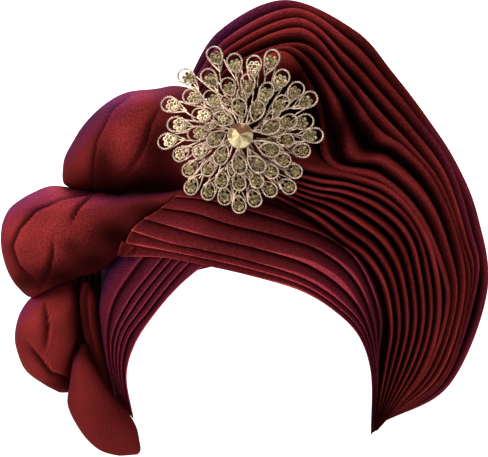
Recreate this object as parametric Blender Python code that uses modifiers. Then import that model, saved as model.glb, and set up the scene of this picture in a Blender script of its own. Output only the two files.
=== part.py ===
"""A gele head tie in its worn form: cap, pleated bands, fan, rolled puffs and an openwork brooch.

Metres, +Z up, the face opening looks along -Y and +X is the viewer's right. The origin is where the
crown of the head touches the inside of the cap.
"""

import math
from collections import namedtuple

import bmesh
import bpy
import numpy as np
from mathutils import Matrix, Vector

MM = 0.001
SHARP_ANGLE = math.radians(35)
TAFFETA_COLOUR = (0.21, 0.015, 0.022)
GILT_COLOUR = (0.72, 0.62, 0.45)
CRYSTAL_COLOUR = (0.85, 0.72, 0.5)

# The tables give places as the viewer sees them, from a little above: millimetres across to the
# viewer's right, up from the crown, and forward from the crown. place() turns them into the frame.
VIEW_TILT = math.radians(8)

HEAD_HALF_BREADTH = 80
HEAD_HALF_LENGTH = 98
CLOTH = 2.0
CAP_SEGMENTS, CAP_RINGS = 24, 12
CAP_HALF_HEIGHT = 88
CAP_FULLNESS = 0.7
# The cap's rim is high over the brow, low at the nape and lower still at the ears. Over the brow it
# also reaches forward. A higher focus keeps the brow's share nearer to the middle of the face.
BROW_RIM, NAPE_RIM, EAR_DROP = -38, -66, -8
BROW_RIM_FOCUS = 3
BROW_REACH = 0.085
BROW_REACH_FOCUS = 4

Fold = namedtuple("Fold", "name order tip cheek side bulge shoulder corner notch arm crest tuck end")
FAN_FOLDS = (
    Fold("first fold", 1, (84, -147, 5), (91, -118, 9), (94, -92, 24), (89, -65, 46), (77, -46, 65),
         (61, -34, 78), (46, -22, 87), (32, -14, 91), (20, -8, 93), (6, -2, 94), (-14, 3, 93)),
    Fold("seventh fold", 7, (85, -152, -6), (114, -123, 2), (125, -85, 20), (121, -48, 38), (108, -21, 55),
         (90, -3, 69), (68, 5, 79), (48, 9, 85), (30, 13, 87), (6, 16, 88), (-20, 21, 86)),
    Fold("pocket", 7.5, (85, -153, -8), (116, -123, -2), (127, -82, 15), (123, -48, 33), (108, -19, 49),
         (87, 0, 61), (60, 8, 66), (47, 30, 57), (26, 50, 56), (2, 42, 68), (-22, 35, 78)),
    Fold("notch fold", 8, (85, -154, -9), (118, -123, 0), (131, -79, 17), (126, -49, 34), (110, -17, 52),
         (86, 5, 66), (53, 16, 74), (46, 53, 60), (24, 86, 47), (-3, 73, 62), (-24, 47, 76)),
    Fold("second notch", 9, (85, -155, -11), (124, -123, -2), (136, -75, 13), (130, -40, 30), (116, -9, 46),
         (90, 15, 62), (67, 22, 68), (53, 60, 54), (27, 90, 42), (-6, 75, 60), (-26, 52, 72)),
    Fold("third notch", 10, (85, -157, -13), (129, -121, -4), (141, -72, 9), (136, -34, 25), (120, 3, 42),
         (101, 24, 54), (83, 36, 59), (62, 65, 48), (34, 92, 38), (-9, 79, 56), (-29, 56, 68)),
    Fold("upper fold", 11, (85, -158, -15), (134, -119, -6), (145, -67, 5), (139, -36, 19), (125, 1, 34),
         (105, 26, 47), (85, 47, 47), (63, 73, 41), (34, 102, 28), (-11, 86, 48), (-32, 60, 63)),
    Fold("inner rim", 13, (85, -161, -19), (141, -113, -10), (152, -63, 0), (147, -28, 10), (133, 14, 21),
         (112, 43, 30), (90, 69, 31), (67, 94, 26), (30, 115, 14), (-18, 96, 33), (-39, 69, 49)),
    Fold("rim", 14, (85, -163, -22), (146.5, -111, -14), (156, -62, -6), (152, -20, 0), (137, 15, 8),
         (118, 44, 13), (95, 74, 13), (70, 102, 9), (24, 121, -2), (-22, 102, 12), (-48, 72, 30)),
)
FAN_FIRST_ORDER = 0.5
FAN_LAST_ORDER = 15.5
FAN_POLE = (20, -10)
RETURN_FOLDS = ((15, 0.96, 13), (16, 0.88, 20))
FAN_FOLD_DEPTH = 2.6
FAN_FOLD_SHARE = 0.4
FAN_COLUMNS = 21
ROWS_PER_FOLD = 2

BandRow = namedtuple("BandRow", "name order left temple peak brow bend right side cheek tip")
BROW_ROWS = (
    BandRow("hem", 0, (-84, -46, 52), (-55, -47, 81), (-30, -52, 95), (1, -59, 97), (34, -69, 94),
            (57, -83, 79), (73, -100, 56), (81, -125, 30), (80, -160, 10)),
    BandRow("second ridge", 2, (-77, -29, 66), (-52, -37, 84), (-29, -42, 95), (1, -49, 97.8),
            (35, -60, 94), (60, -76, 78), (76, -95, 54), (83, -125, 25), (80, -157, 7)),
    BandRow("fourth ridge", 4, (-57, -14, 81), (-34, -18, 92), (-12, -25, 96), (20, -33, 94),
            (48, -43, 82), (70, -62, 63), (82, -90, 38), (85, -122, 16), (80, -153, 2)),
    BandRow("fifth ridge", 5, (-48, -7, 86), (-28, -9, 92), (-4, -15, 93), (26, -24, 87),
            (54, -35, 73), (73, -52, 55), (86, -85, 28), (85, -120, 9), (80, -150, -2)),
    BandRow("tucked top", 7, (-39, 0, 85), (-24, 4, 86), (-2, 4, 85), (28, -8, 80),
            (58, -28, 65), (78, -44, 46), (92, -80, 14), (89, -116, -3), (82, -146, -11)),
)
BAND_PLEAT_DEPTH = 1.0
BAND_PLEAT_SHARE = 0.22
BAND_LAST_PLEAT = 5.5
BAND_COLUMNS = 18

TempleRow = namedtuple("TempleRow", "name order top upper middle lower cheek end")
TEMPLE_ROWS = (
    TempleRow("behind the rolls", -2, (-120, -42, -50), (-125, -70, -44), (-127, -92, -42),
              (-125, -110, -42), (-118, -130, -38), (-104, -150, -30)),
    TempleRow("under the rolls", -1, (-109, -57.5, -24), (-113, -74, -22), (-114, -90, -24),
              (-112, -107, -26), (-106, -128, -25), (-95, -148, -21)),
    TempleRow("side", 0, (-97, -58, 3), (-98, -72, 0), (-99, -86, -6), (-97, -102, -10),
              (-93, -124, -12), (-86, -146, -12)),
    TempleRow("panel edge", 1, (-84, -44, 40), (-92, -57, 35), (-98, -76, 27), (-97, -97, 16),
              (-93, -121, 8), (-85, -146, 4)),
    TempleRow("first pleat", 3, (-53, -43, 76), (-65, -57, 69), (-79, -75, 54), (-90, -98, 35),
              (-90, -122, 17), (-83, -147, 8)),
    TempleRow("fourth pleat", 6, (-36, -47, 87), (-51, -63, 80), (-66, -82, 65), (-80, -101, 44),
              (-84, -124, 24), (-79, -149, 12)),
    TempleRow("hem", 7, (-27, -50, 90), (-45, -65, 84), (-61, -83, 71), (-75, -104, 49),
              (-81, -126, 27), (-77, -151, 13)),
)
TEMPLE_FIRST_PLEAT = 2.5
TEMPLE_PLEAT_DEPTH = 0.8
TEMPLE_PLEAT_SHARE = 0.22
TEMPLE_COLUMNS = 10

# A puff is a closed padded roll, given by sections across its length.
Section = namedtuple("Section", "along low high front back")
PUFF_TOP = (
    Section(-122, 4, 5, 0, -4), Section(-117, -2.6, 27, 24, -30), Section(-98, -3.7, 51, 46, -45),
    Section(-80, -5.9, 61.5, 56, -46), Section(-62, -7, 67.5, 60, -44), Section(-48, -7, 69.3, 64, -30),
    Section(-34, -5, 62, 70, 10), Section(-18, 3, 42, 75, 62),
)
PUFF_SIDE = (
    Section(-163, -40, -36, 8, 4), Section(-158, -58, -17, 24, -16), Section(-147, -74, -7, 36, -34),
    Section(-132, -67, -1.2, 46, -44), Section(-114, -60, -2.7, 54, -42), Section(-98, -54.6, -3.2, 60, -30),
    Section(-84, -42, -4.6, 64, 10), Section(-68, -24, -5, 70.6, 44), Section(-54, -13, -4, 78.6, 62),
    Section(-43, -5, -2, 80, 74),
)
PUFF_LOW = (
    Section(-63.4, -122, -117, 0, -6), Section(-73, -142, -112.7, 16, -16),
    Section(-85, -150, -111.6, 27, -26), Section(-100, -154, -112.6, 28, -32),
    Section(-112, -152.5, -116.5, 24, -30), Section(-124, -147.6, -118.3, 16, -24),
    Section(-138.5, -123, -119, 0, -6),
)
PUFF_TAIL = (
    Section(-104, -111, -108, 16, 9), Section(-116, -116, -103.6, 24, 1.4), Section(-130, -118.4, -96, 30, -1),
    Section(-144, -120.5, -84.2, 33, 2), Section(-158, -114, -75.3, 34, 9), Section(-170, -104, -72, 31, 12),
    Section(-178, -84, -78, 24, 20),
)
TUCK_FOLD = (
    Section(-62, -110, -106, 18, 14), Section(-74, -112.4, -100.6, 20, 4),
    Section(-92, -111.4, -99.6, 17, -2), Section(-110, -107.4, -96.6, 9, -6),
    Section(-128, -100.4, -92.6, 1, -8), Section(-137, -95, -92, -2, -6),
)
PUFF_SIDES = 12
PUFF_FULLNESS = 0.85
PUFF_POLE = 0.001
RINGS_PER_SECTION = 1.6
# The rolls lean like the slats of a blind, front down, so that no light shows between them. The lean
# fades out towards the brooch.
ROLL_LEAN = 2.6
ROLL_LEAN_MIDDLE, ROLL_LEAN_REACH = 12, 20
ROLL_LEAN_FADE = (-92, -66)

# The brooch is made flat about its own centre, +Z to the viewer, and its seat turns it into place.
BROOCH_CENTRE = (-5, 33, 88.6)
BROOCH_TURN = math.radians(-6)
BROOCH_LEAN = math.radians(15)
BROOCH_METAL = 1.6
STEM_WIDTH = 1.7
STEM_ROOT = 1.0
WINDOW_CORNERS = 4
HUB_RADIUS = 9.6
HUB_SIDES = 12
HUB_BACK, HUB_FRONT = 1.6, 12.4

# Along a petal, places are shares of its length from its middle. Across it, shares of its half width.
STEM_END = -0.5
PETAL_SIDE = ((-0.12, 0.92), (0.25, 0.86), (0.5, 0))
WINDOW_MIDDLE = 0.21
WINDOW_HALF_LENGTH, WINDOW_HALF_WIDTH = 0.18, 0.6
STONE_MIDDLE = -0.17

Layer = namedtuple("Layer", "name count reach long_reach rise length width lift sag spin stone")
BROOCH_LAYERS = (
    Layer("outer_petals", 24, 43, 48, 4, 15, 10.6, 3.0, 5.0, 0.0, 2.5),
    Layer("middle_petals", 16, 31, 31, 2, 14, 10.6, 6.8, 2.5, 0.2, 2.5),
    Layer("inner_petals", 9, 18, 18, 0, 13, 10.8, 10.6, 1.5, 0.1, 2.2),
)
LONG_PETAL_EVERY = 3
STONE_SIDES = 8
STONE_TABLE = 0.6
STONE_HEIGHT = 1.6
SEAT_MARGIN = 1.02
WELD = 0.01

CENTRE_STONE_RADIUS = 8.2
CENTRE_STONE_BASE = 6.5
CENTRE_STONE_TABLE = 4.4
CENTRE_STONE_GIRDLE = 1.6
CENTRE_STONE_CROWN = 3.4
CENTRE_STONE_SIDES = 12
SEAT_GAP = 0.3
PIN_RADIUS = 1.4
PIN_HALF_LENGTH = 14
PIN_SIDES = 8


def place(across, up, forward):
    """A tabled place as a point of the frame, in metres."""
    height = (up + forward * math.sin(VIEW_TILT)) / math.cos(VIEW_TILT)
    return Vector((across, -forward, height)) * MM


def clear_scene():
    for item in bpy.data.objects[:]:
        bpy.data.objects.remove(item)


def material(name, colour, roughness, metallic=0.0):
    made = bpy.data.materials.new(name)
    made.use_nodes = True
    shader = made.node_tree.nodes["Principled BSDF"]
    shader.inputs["Base Color"].default_value = (*colour, 1)
    shader.inputs["Roughness"].default_value = roughness
    shader.inputs["Metallic"].default_value = metallic
    return made


def calm_slopes(places, values):
    """Slopes that let a curve through uneven places turn only at the tabled values."""
    secants = np.diff(values, axis=0) / np.diff(places).reshape((-1,) + (1,) * (values.ndim - 1))
    before, after = secants[:-1], secants[1:]
    same_way = before * after > 0
    total = np.where(same_way, before + after, 1)
    inner = np.where(same_way, 2 * before * after / total, 0)
    return np.concatenate([secants[:1], inner, secants[-1:]])


def eased(places, values, wanted, calm=False):
    """Values between the tabled ones, on a smooth curve through each of them."""
    places = np.asarray(places, float)
    values = np.asarray(values, float)
    wanted = np.asarray(wanted, float)
    slopes = calm_slopes(places, values) if calm else np.gradient(values, places, axis=0)
    left = np.clip(np.searchsorted(places, wanted, side="right") - 1, 0, len(places) - 2)
    shape = (-1,) + (1,) * (values.ndim - 1)
    step = (places[left + 1] - places[left]).reshape(shape)
    t = (wanted - places[left]).reshape(shape) / step
    start = (1 + 2 * t) * (1 - t) ** 2 * values[left] + t * (1 - t) ** 2 * step * slopes[left]
    finish = t**2 * (3 - 2 * t) * values[left + 1] + t**2 * (t - 1) * step * slopes[left + 1]
    return start + finish


def fold_orders(first, last):
    return np.arange(first, last + 0.5 / ROWS_PER_FOLD, 1 / ROWS_PER_FOLD)


def surface_grid(rows, orders, columns):
    """Base points in tabled millimetres, one line for each order and one point for each column."""
    stations = np.array([row[2:] for row in rows], float)
    along = np.linspace(0, stations.shape[1] - 1, columns)
    lines = eased([row.order for row in rows], stations, orders, calm=True)
    points = eased(np.arange(stations.shape[1]), lines.transpose(1, 0, 2), along)
    return points.transpose(1, 0, 2)


def pleated(points, orders, depth, share, first=-math.inf, last=math.inf):
    """The grid with a crest on each whole order and a valley between, as deep as their spacing allows."""
    framed = np.array([[place(*point) for point in line] for line in points]) / MM
    across = np.gradient(framed, orders, axis=0)
    along = np.gradient(framed, axis=1)
    normal = np.cross(across, along)
    normal /= np.linalg.norm(normal, axis=2, keepdims=True)
    if normal[:, :, 1].sum() > 0:
        normal = -normal
    spacing = np.linalg.norm(across, axis=2)
    swing = np.minimum(depth, share * spacing)
    inside = (orders >= first) & (orders <= last)
    wave = np.cos(2 * math.pi * orders) * inside
    return framed + normal * (swing * wave[:, None])[:, :, None]


def shell(name, points, wall, skin, collection):
    """An open sheet through a grid of points in millimetres, with its wall on the head's side."""
    rows, columns = points.shape[:2]
    bm = bmesh.new()
    bmesh.ops.create_grid(bm, x_segments=columns - 1, y_segments=rows - 1, size=1)
    for vertex in bm.verts:
        column = round((vertex.co.x + 1) / 2 * (columns - 1))
        row = round((vertex.co.y + 1) / 2 * (rows - 1))
        vertex.co = Vector(points[row, column]) * MM
    bm.normal_update()
    facing = sum(face.normal.dot(face.calc_center_median()) * face.calc_area() for face in bm.faces)
    if facing < 0:
        bmesh.ops.reverse_faces(bm, faces=bm.faces[:])
    made = bpy.data.objects.new(name, mesh_of(bm, name))
    thick = made.modifiers.new("wall", "SOLIDIFY")
    thick.thickness = wall * MM
    thick.offset = -1
    finish(made, skin, collection)


def mesh_of(bm, name):
    mesh = bpy.data.meshes.new(name)
    bm.to_mesh(mesh)
    bm.free()
    return mesh


def finish(made, skin, collection):
    made.data.materials.append(skin)
    made.data.shade_smooth()
    made.data.set_sharp_from_angle(angle=SHARP_ANGLE)
    collection.objects.link(made)


def build_cap(skin, collection):
    """A sphere's upper part, stretched to the head and ended at a rim that is higher over the face."""
    bm = bmesh.new()
    bmesh.ops.create_uvsphere(bm, u_segments=CAP_SEGMENTS, v_segments=CAP_RINGS, radius=1)
    lower = [vertex for vertex in bm.verts if round(vertex.co.z, 3) < 0]
    bmesh.ops.delete(bm, geom=lower, context="VERTS")
    for vertex in bm.verts:
        around = math.atan2(vertex.co.y, vertex.co.x)
        frontal = (1 - math.sin(around)) / 2
        beside = 4 * frontal * (1 - frontal)
        rim = NAPE_RIM + (BROW_RIM - NAPE_RIM) * frontal**BROW_RIM_FOCUS + EAR_DROP * beside
        rim_angle = math.acos(1 + rim / CAP_HALF_HEIGHT)
        drop = math.acos(max(-1, min(1, vertex.co.z))) / (math.pi / 2) * rim_angle
        spread = math.sin(drop) ** CAP_FULLNESS
        forward_reach = 1 + BROW_REACH * frontal**BROW_REACH_FOCUS * (drop / rim_angle) ** 2
        vertex.co = Vector((HEAD_HALF_BREADTH * spread * math.cos(around),
                            HEAD_HALF_LENGTH * spread * forward_reach * math.sin(around),
                            CAP_HALF_HEIGHT * (math.cos(drop) - 1))) * MM
    bmesh.ops.recalc_face_normals(bm, faces=bm.faces[:])
    cap = bpy.data.objects.new("cap", mesh_of(bm, "cap"))
    thick = cap.modifiers.new("wall", "SOLIDIFY")
    thick.thickness = CLOTH * MM
    thick.offset = 1
    finish(cap, skin, collection)


def with_return_folds(folds):
    """The tabled folds and the ones turned back behind the rim, drawn in towards the fan's pole."""
    rim = folds[-1]
    turned = []
    for order, share, back in RETURN_FOLDS:
        stations = [(FAN_POLE[0] + (across - FAN_POLE[0]) * share, FAN_POLE[1] + (up - FAN_POLE[1]) * share,
                     forward - back) for across, up, forward in rim[2:]]
        turned.append(Fold("return", order, *stations))
    return folds + tuple(turned)


def build_fan(skin, collection):
    orders = fold_orders(FAN_FIRST_ORDER, FAN_LAST_ORDER)
    base = surface_grid(with_return_folds(FAN_FOLDS), orders, FAN_COLUMNS)
    shell("fan", pleated(base, orders, FAN_FOLD_DEPTH, FAN_FOLD_SHARE), CLOTH, skin, collection)


def build_brow_band(skin, collection):
    orders = fold_orders(BROW_ROWS[0].order, BROW_ROWS[-1].order)
    base = surface_grid(BROW_ROWS, orders, BAND_COLUMNS)
    folded = pleated(base, orders, BAND_PLEAT_DEPTH, BAND_PLEAT_SHARE, last=BAND_LAST_PLEAT)
    shell("brow_band", folded, CLOTH, skin, collection)


def build_temple_wrap(skin, collection):
    orders = fold_orders(TEMPLE_ROWS[0].order, TEMPLE_ROWS[-1].order)
    base = surface_grid(TEMPLE_ROWS, orders, TEMPLE_COLUMNS)
    folded = pleated(base, orders, TEMPLE_PLEAT_DEPTH, TEMPLE_PLEAT_SHARE, first=TEMPLE_FIRST_PLEAT)
    shell("temple_wrap", folded, CLOTH, skin, collection)


def fuller(wave):
    """A sine or cosine pushed out at its corners, so that a section is fuller than an ellipse."""
    return math.copysign(abs(wave) ** PUFF_FULLNESS, wave)


def leaning(across, forward):
    """How far the rolls' lean lowers a place."""
    full, none = ROLL_LEAN_FADE
    share = max(0, min(1, (none - across) / (none - full)))
    tilt = math.tanh((forward - ROLL_LEAN_MIDDLE) / ROLL_LEAN_REACH)
    return ROLL_LEAN * share * share * (3 - 2 * share) * tilt


def build_puff(name, sections, upright, skin, collection):
    """A ball drawn out along its axis so that each ring fits the tabled section there."""
    rings = round(len(sections) * RINGS_PER_SECTION)
    table = np.array(sections, float)
    bm = bmesh.new()
    bmesh.ops.create_uvsphere(bm, u_segments=PUFF_SIDES, v_segments=rings, radius=1)
    for vertex in bm.verts:
        share = math.acos(max(-1, min(1, vertex.co.z))) / math.pi
        around = math.atan2(vertex.co.y, vertex.co.x)
        at_end = min(share, 1 - share) < PUFF_POLE
        fitted = eased(np.arange(len(sections)), table, [share * (len(sections) - 1)])[0]
        along, low, high, front, back = fitted
        middle = (low + high) / 2
        half = 0 if at_end else (high - low) / 2
        depth = 0 if at_end else (front - back) / 2
        side = middle + half * fuller(math.cos(around))
        forward = (front + back) / 2 + depth * fuller(math.sin(around))
        across, up = (side, along) if upright else (along, side)
        vertex.co = place(across, up - leaning(across, forward), forward)
    if bm.calc_volume(signed=True) < 0:
        bmesh.ops.reverse_faces(bm, faces=bm.faces[:])
    finish(bpy.data.objects.new(name, mesh_of(bm, name)), skin, collection)


def build_puffs(skin, collection):
    build_puff("puff_top", PUFF_TOP, False, skin, collection)
    build_puff("puff_side", PUFF_SIDE, False, skin, collection)
    build_puff("puff_low", PUFF_LOW, True, skin, collection)
    build_puff("puff_tail", PUFF_TAIL, True, skin, collection)
    build_puff("tuck_fold", TUCK_FOLD, True, skin, collection)


def petal_place(layer, index):
    """The way a petal points, clockwise from up, and how far out its middle lies."""
    way = 2 * math.pi * (index + layer.spin) / layer.count
    reach = layer.long_reach if index % LONG_PETAL_EVERY == 0 else layer.reach
    return way, reach + layer.rise * math.cos(way)


def turned(outward, aside, way):
    return (outward * math.sin(way) + aside * math.cos(way), outward * math.cos(way) - aside * math.sin(way))


def petal_outline(layer, index):
    way, reach = petal_place(layer, index)
    stem = STEM_WIDTH / 2
    side = [(HUB_RADIUS - STEM_ROOT, stem), (reach + layer.length * STEM_END, stem)]
    side += [(reach + layer.length * along, layer.width / 2 * across) for along, across in PETAL_SIDE]
    left = [turned(outward, -aside, way) for outward, aside in side]
    right = [turned(outward, aside, way) for outward, aside in reversed(side[:-1])]
    return left + right


def petal_window(layer, index):
    """The gap that is left open near a petal's tip."""
    way, reach = petal_place(layer, index)
    loop = []
    for corner in range(WINDOW_CORNERS):
        around = 2 * math.pi * corner / WINDOW_CORNERS
        outward = reach + layer.length * (WINDOW_MIDDLE + WINDOW_HALF_LENGTH * math.cos(around))
        aside = layer.width / 2 * WINDOW_HALF_WIDTH * math.sin(around)
        loop.append(turned(outward, aside, way))
    return loop


def add_loop(curve, corners):
    spline = curve.splines.new("POLY")
    spline.points.add(len(corners) - 1)
    for point, (x, y) in zip(spline.points, corners):
        point.co = (x * MM, y * MM, 0, 1)
    spline.use_cyclic_u = True


def bowed(layer, outward):
    """How far in front of the seat a layer's middle plane lies at this distance from the hub."""
    return layer.lift - layer.sag * (outward / layer.reach) ** 2


def stone_seat(layer, index):
    """The octagon that a petal's stone rises from, and its middle."""
    way, reach = petal_place(layer, index)
    middle = reach + layer.length * STONE_MIDDLE
    loop = []
    for corner in range(STONE_SIDES):
        around = 2 * math.pi * (corner + 0.5) / STONE_SIDES
        loop.append(turned(middle + layer.stone * math.cos(around), layer.stone * math.sin(around), way))
    return loop, Vector(turned(middle, 0, way)) * MM


def petal_plate(layer):
    """A layer's stems and open petals cut out of flat plate, set with stones and then bowed back."""
    curve = bpy.data.curves.new(layer.name, "CURVE")
    curve.dimensions = "2D"
    curve.fill_mode = "BOTH"
    curve.extrude = BROOCH_METAL / 2 * MM
    seats = [stone_seat(layer, index) for index in range(layer.count)]
    for index in range(layer.count):
        add_loop(curve, petal_outline(layer, index))
        add_loop(curve, petal_window(layer, index))
        add_loop(curve, seats[index][0])
    flat = bpy.data.objects.new(layer.name + "_outline", curve)
    bpy.context.scene.collection.objects.link(flat)
    bpy.context.view_layer.update()
    cut = bpy.data.meshes.new_from_object(flat.evaluated_get(bpy.context.evaluated_depsgraph_get()))
    bpy.data.objects.remove(flat)
    bm = bmesh.new()
    bm.from_mesh(cut)
    bmesh.ops.remove_doubles(bm, verts=bm.verts[:], dist=WELD * MM)
    raise_stones(bm, layer, [middle for _, middle in seats])
    for vertex in bm.verts:
        vertex.co.z += bowed(layer, vertex.co.xy.length / MM) * MM
    bmesh.ops.recalc_face_normals(bm, faces=bm.faces[:])
    return mesh_of(bm, layer.name)


def raise_stones(bm, layer, middles):
    """Closes each seat again, with a stone of eight facets and a flat table on its front."""
    for middle in middles:
        reach = layer.stone * SEAT_MARGIN * MM
        rim = {vertex for vertex in bm.verts if (vertex.co.xy - middle).length < reach}
        walls = [face for face in bm.faces if rim.issuperset(face.verts)]
        bmesh.ops.delete(bm, geom=walls, context="FACES")
    open_edges = [edge for edge in bm.edges if edge.is_boundary]
    closed = bmesh.ops.holes_fill(bm, edges=open_edges, sides=STONE_SIDES)["faces"]
    fronts = [face for face in closed if face.calc_center_median().z > 0]
    for table in bmesh.ops.extrude_discrete_faces(bm, faces=fronts)["faces"]:
        middle = table.calc_center_median()
        for vertex in table.verts:
            vertex.co = middle + (vertex.co - middle) * STONE_TABLE
            vertex.co.z += STONE_HEIGHT * MM


def hub():
    bm = bmesh.new()
    middle = Matrix.Translation((0, 0, (HUB_BACK + HUB_FRONT) / 2 * MM))
    bmesh.ops.create_cone(bm, cap_ends=True, segments=HUB_SIDES, radius1=HUB_RADIUS * MM,
                          radius2=HUB_RADIUS * MM, depth=(HUB_FRONT - HUB_BACK) * MM, matrix=middle)
    return mesh_of(bm, "hub")


def build_brooch(metal, seat, helpers, collection):
    """The hub and three layers of petals with their stones, soldered into one body."""
    brooch = bpy.data.objects.new("brooch", hub())
    brooch.parent = seat
    finish(brooch, metal, collection)
    for mesh in map(petal_plate, BROOCH_LAYERS):
        helper = bpy.data.objects.new("brooch_" + mesh.name, mesh)
        helper.parent = seat
        helper.hide_render = True
        helper.display_type = "WIRE"
        helpers.objects.link(helper)
        solder = brooch.modifiers.new("solder " + mesh.name, "BOOLEAN")
        solder.operation = "UNION"
        solder.solver = "EXACT"
        solder.object = helper


def build_centre_stone(glass, seat, collection):
    """A round cut stone: a base, a girdle, a crown of facets and a flat table."""
    rings = ((CENTRE_STONE_BASE, 0), (CENTRE_STONE_RADIUS, CENTRE_STONE_GIRDLE),
             (CENTRE_STONE_TABLE, CENTRE_STONE_GIRDLE + CENTRE_STONE_CROWN))
    foot = HUB_FRONT + SEAT_GAP
    bm = bmesh.new()
    bmesh.ops.create_circle(bm, cap_ends=True, segments=CENTRE_STONE_SIDES, radius=rings[0][0] * MM)
    face = bm.faces[:][0]
    for vertex in bm.verts:
        vertex.co.z = foot * MM
    for (lower, lower_height), (upper, upper_height) in zip(rings, rings[1:]):
        grown = bmesh.ops.extrude_face_region(bm, geom=[face])["geom"]
        moved = [item for item in grown if isinstance(item, bmesh.types.BMVert)]
        bmesh.ops.scale(bm, verts=moved, vec=(upper / lower, upper / lower, 1))
        bmesh.ops.translate(bm, verts=moved, vec=(0, 0, (upper_height - lower_height) * MM))
        old = face
        face = next(item for item in grown if isinstance(item, bmesh.types.BMFace))
        if lower_height > 0:
            bmesh.ops.delete(bm, geom=[old], context="FACES_ONLY")
    bmesh.ops.recalc_face_normals(bm, faces=bm.faces[:])
    stone = bpy.data.objects.new("centre_stone", mesh_of(bm, "centre_stone"))
    stone.parent = seat
    stone.data.materials.append(glass)
    collection.objects.link(stone)


def build_brooch_pin(metal, seat, collection):
    """The hidden bar behind the hub: one plain piece, with no joint."""
    bm = bmesh.new()
    upright = Matrix.Rotation(math.pi / 2, 4, "X")
    bmesh.ops.create_cone(bm, cap_ends=True, segments=PIN_SIDES, radius1=PIN_RADIUS * MM,
                          radius2=PIN_RADIUS * MM, depth=2 * PIN_HALF_LENGTH * MM, matrix=upright)
    pin = bpy.data.objects.new("brooch_pin", mesh_of(bm, "brooch_pin"))
    pin.location.z = (HUB_BACK - SEAT_GAP - PIN_RADIUS) * MM
    pin.parent = seat
    finish(pin, metal, collection)


def brooch_seat(collection):
    seat = bpy.data.objects.new("brooch_seat", None)
    seat.location = place(*BROOCH_CENTRE)
    seat.rotation_euler = (math.pi / 2 - BROOCH_LEAN, 0, BROOCH_TURN)
    collection.objects.link(seat)
    return seat


def main():
    clear_scene()
    parts = bpy.data.collections.new("gele_head_tie")
    bpy.context.scene.collection.children.link(parts)
    taffeta = material("taffeta", TAFFETA_COLOUR, roughness=0.4)
    build_cap(taffeta, parts)
    build_fan(taffeta, parts)
    build_brow_band(taffeta, parts)
    build_temple_wrap(taffeta, parts)
    build_puffs(taffeta, parts)
    gilt = material("gilt_metal", GILT_COLOUR, roughness=0.25, metallic=1)
    crystal = material("crystal", CRYSTAL_COLOUR, roughness=0.05)
    helpers = bpy.data.collections.new("brooch_helpers")
    bpy.context.scene.collection.children.link(helpers)
    seat = brooch_seat(parts)
    build_brooch(gilt, seat, helpers, parts)
    build_centre_stone(crystal, seat, parts)
    build_brooch_pin(gilt, seat, parts)


main()
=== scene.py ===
# %% [markdown]
# A gele is a wide, stiff Nigerian head tie. This one is a ready-tied gele of burgundy taffeta: narrow
# pleats rise into a fan on one side, more pleats cross the brow, and padded rolls lie one under the
# other on the other side. A large openwork brooch covers the place where all the cloth meets.
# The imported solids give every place. This script dresses them: each solid is replaced by a finer piece
# that stands where it stood, made from a finer table of the same places.

import math
import random
from collections import namedtuple

import bpy
import numpy as np
from mathutils import Euler, Matrix, Vector


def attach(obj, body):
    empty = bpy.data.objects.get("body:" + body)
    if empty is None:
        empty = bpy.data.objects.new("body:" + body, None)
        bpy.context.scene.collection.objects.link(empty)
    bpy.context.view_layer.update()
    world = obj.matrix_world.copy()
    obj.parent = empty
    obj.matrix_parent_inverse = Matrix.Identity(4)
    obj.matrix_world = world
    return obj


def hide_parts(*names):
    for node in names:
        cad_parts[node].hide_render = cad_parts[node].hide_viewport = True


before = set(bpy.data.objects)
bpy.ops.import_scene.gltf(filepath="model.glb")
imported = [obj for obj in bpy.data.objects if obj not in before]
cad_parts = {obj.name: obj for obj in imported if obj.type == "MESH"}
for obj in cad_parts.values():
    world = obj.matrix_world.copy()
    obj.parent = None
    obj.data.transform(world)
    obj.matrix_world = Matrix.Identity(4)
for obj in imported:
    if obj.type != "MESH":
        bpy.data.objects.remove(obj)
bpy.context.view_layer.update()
print("packed nodes:", ", ".join(sorted(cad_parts)))

# %% [markdown]
# The camera comes first. The photograph looks at the face opening from a little above, and from far
# enough away that nothing spreads with distance. A very long lens eight metres off does the same. The
# photograph's width of 488 pixels spans 322 mm of the head tie, and the middle of the picture lies a
# little below the crown of the head.

# %% The camera
MM = 0.001
VIEW_TILT = math.radians(8)
PIXEL = 0.66
PHOTO_WIDTH = 488
VIEW_CENTRE = (-3.3, -28, 50)
CAMERA_DISTANCE = 8.0
SENSOR = 36.0


def place(points):
    """Places given as the viewer sees them, in millimetres across, up and forward, in the frame."""
    across, up, forward = np.moveaxis(np.asarray(points, float), -1, 0)
    height = (up + forward * math.sin(VIEW_TILT)) / math.cos(VIEW_TILT)
    return np.stack([across, -forward, height], axis=-1) * MM


backward = Vector((0, -math.cos(VIEW_TILT), math.sin(VIEW_TILT)))
camera = bpy.data.objects.new("camera", bpy.data.cameras.new("camera"))
bpy.context.scene.collection.objects.link(camera)
camera.data.sensor_width = SENSOR
camera.data.lens = SENSOR * CAMERA_DISTANCE / (PHOTO_WIDTH * PIXEL * MM)
camera.data.clip_end = 3 * CAMERA_DISTANCE
camera.location = Vector(place(VIEW_CENTRE)) + backward * CAMERA_DISTANCE
camera.rotation_euler = (-backward).to_track_quat("-Z", "Y").to_euler()
bpy.context.scene.camera = camera
print(f"lens {camera.data.lens:.0f} mm")

# %% [markdown]
# A plain pale floor lies well below the head tie, which keeps its worn form. The light is soft.
# One large panel stands in front at the viewer's left and a weaker one at the right, so that the rolls
# are bright and the pleats of the fan keep their dark valleys. A small one hangs above, and the last
# lights the floor behind.

# %% A primitive and a material to start from
def start_from(primitive, **settings):
    """Adds a primitive with nothing else selected."""
    bpy.ops.object.select_all(action="DESELECT")
    primitive(**settings)
    return bpy.context.object


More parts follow.
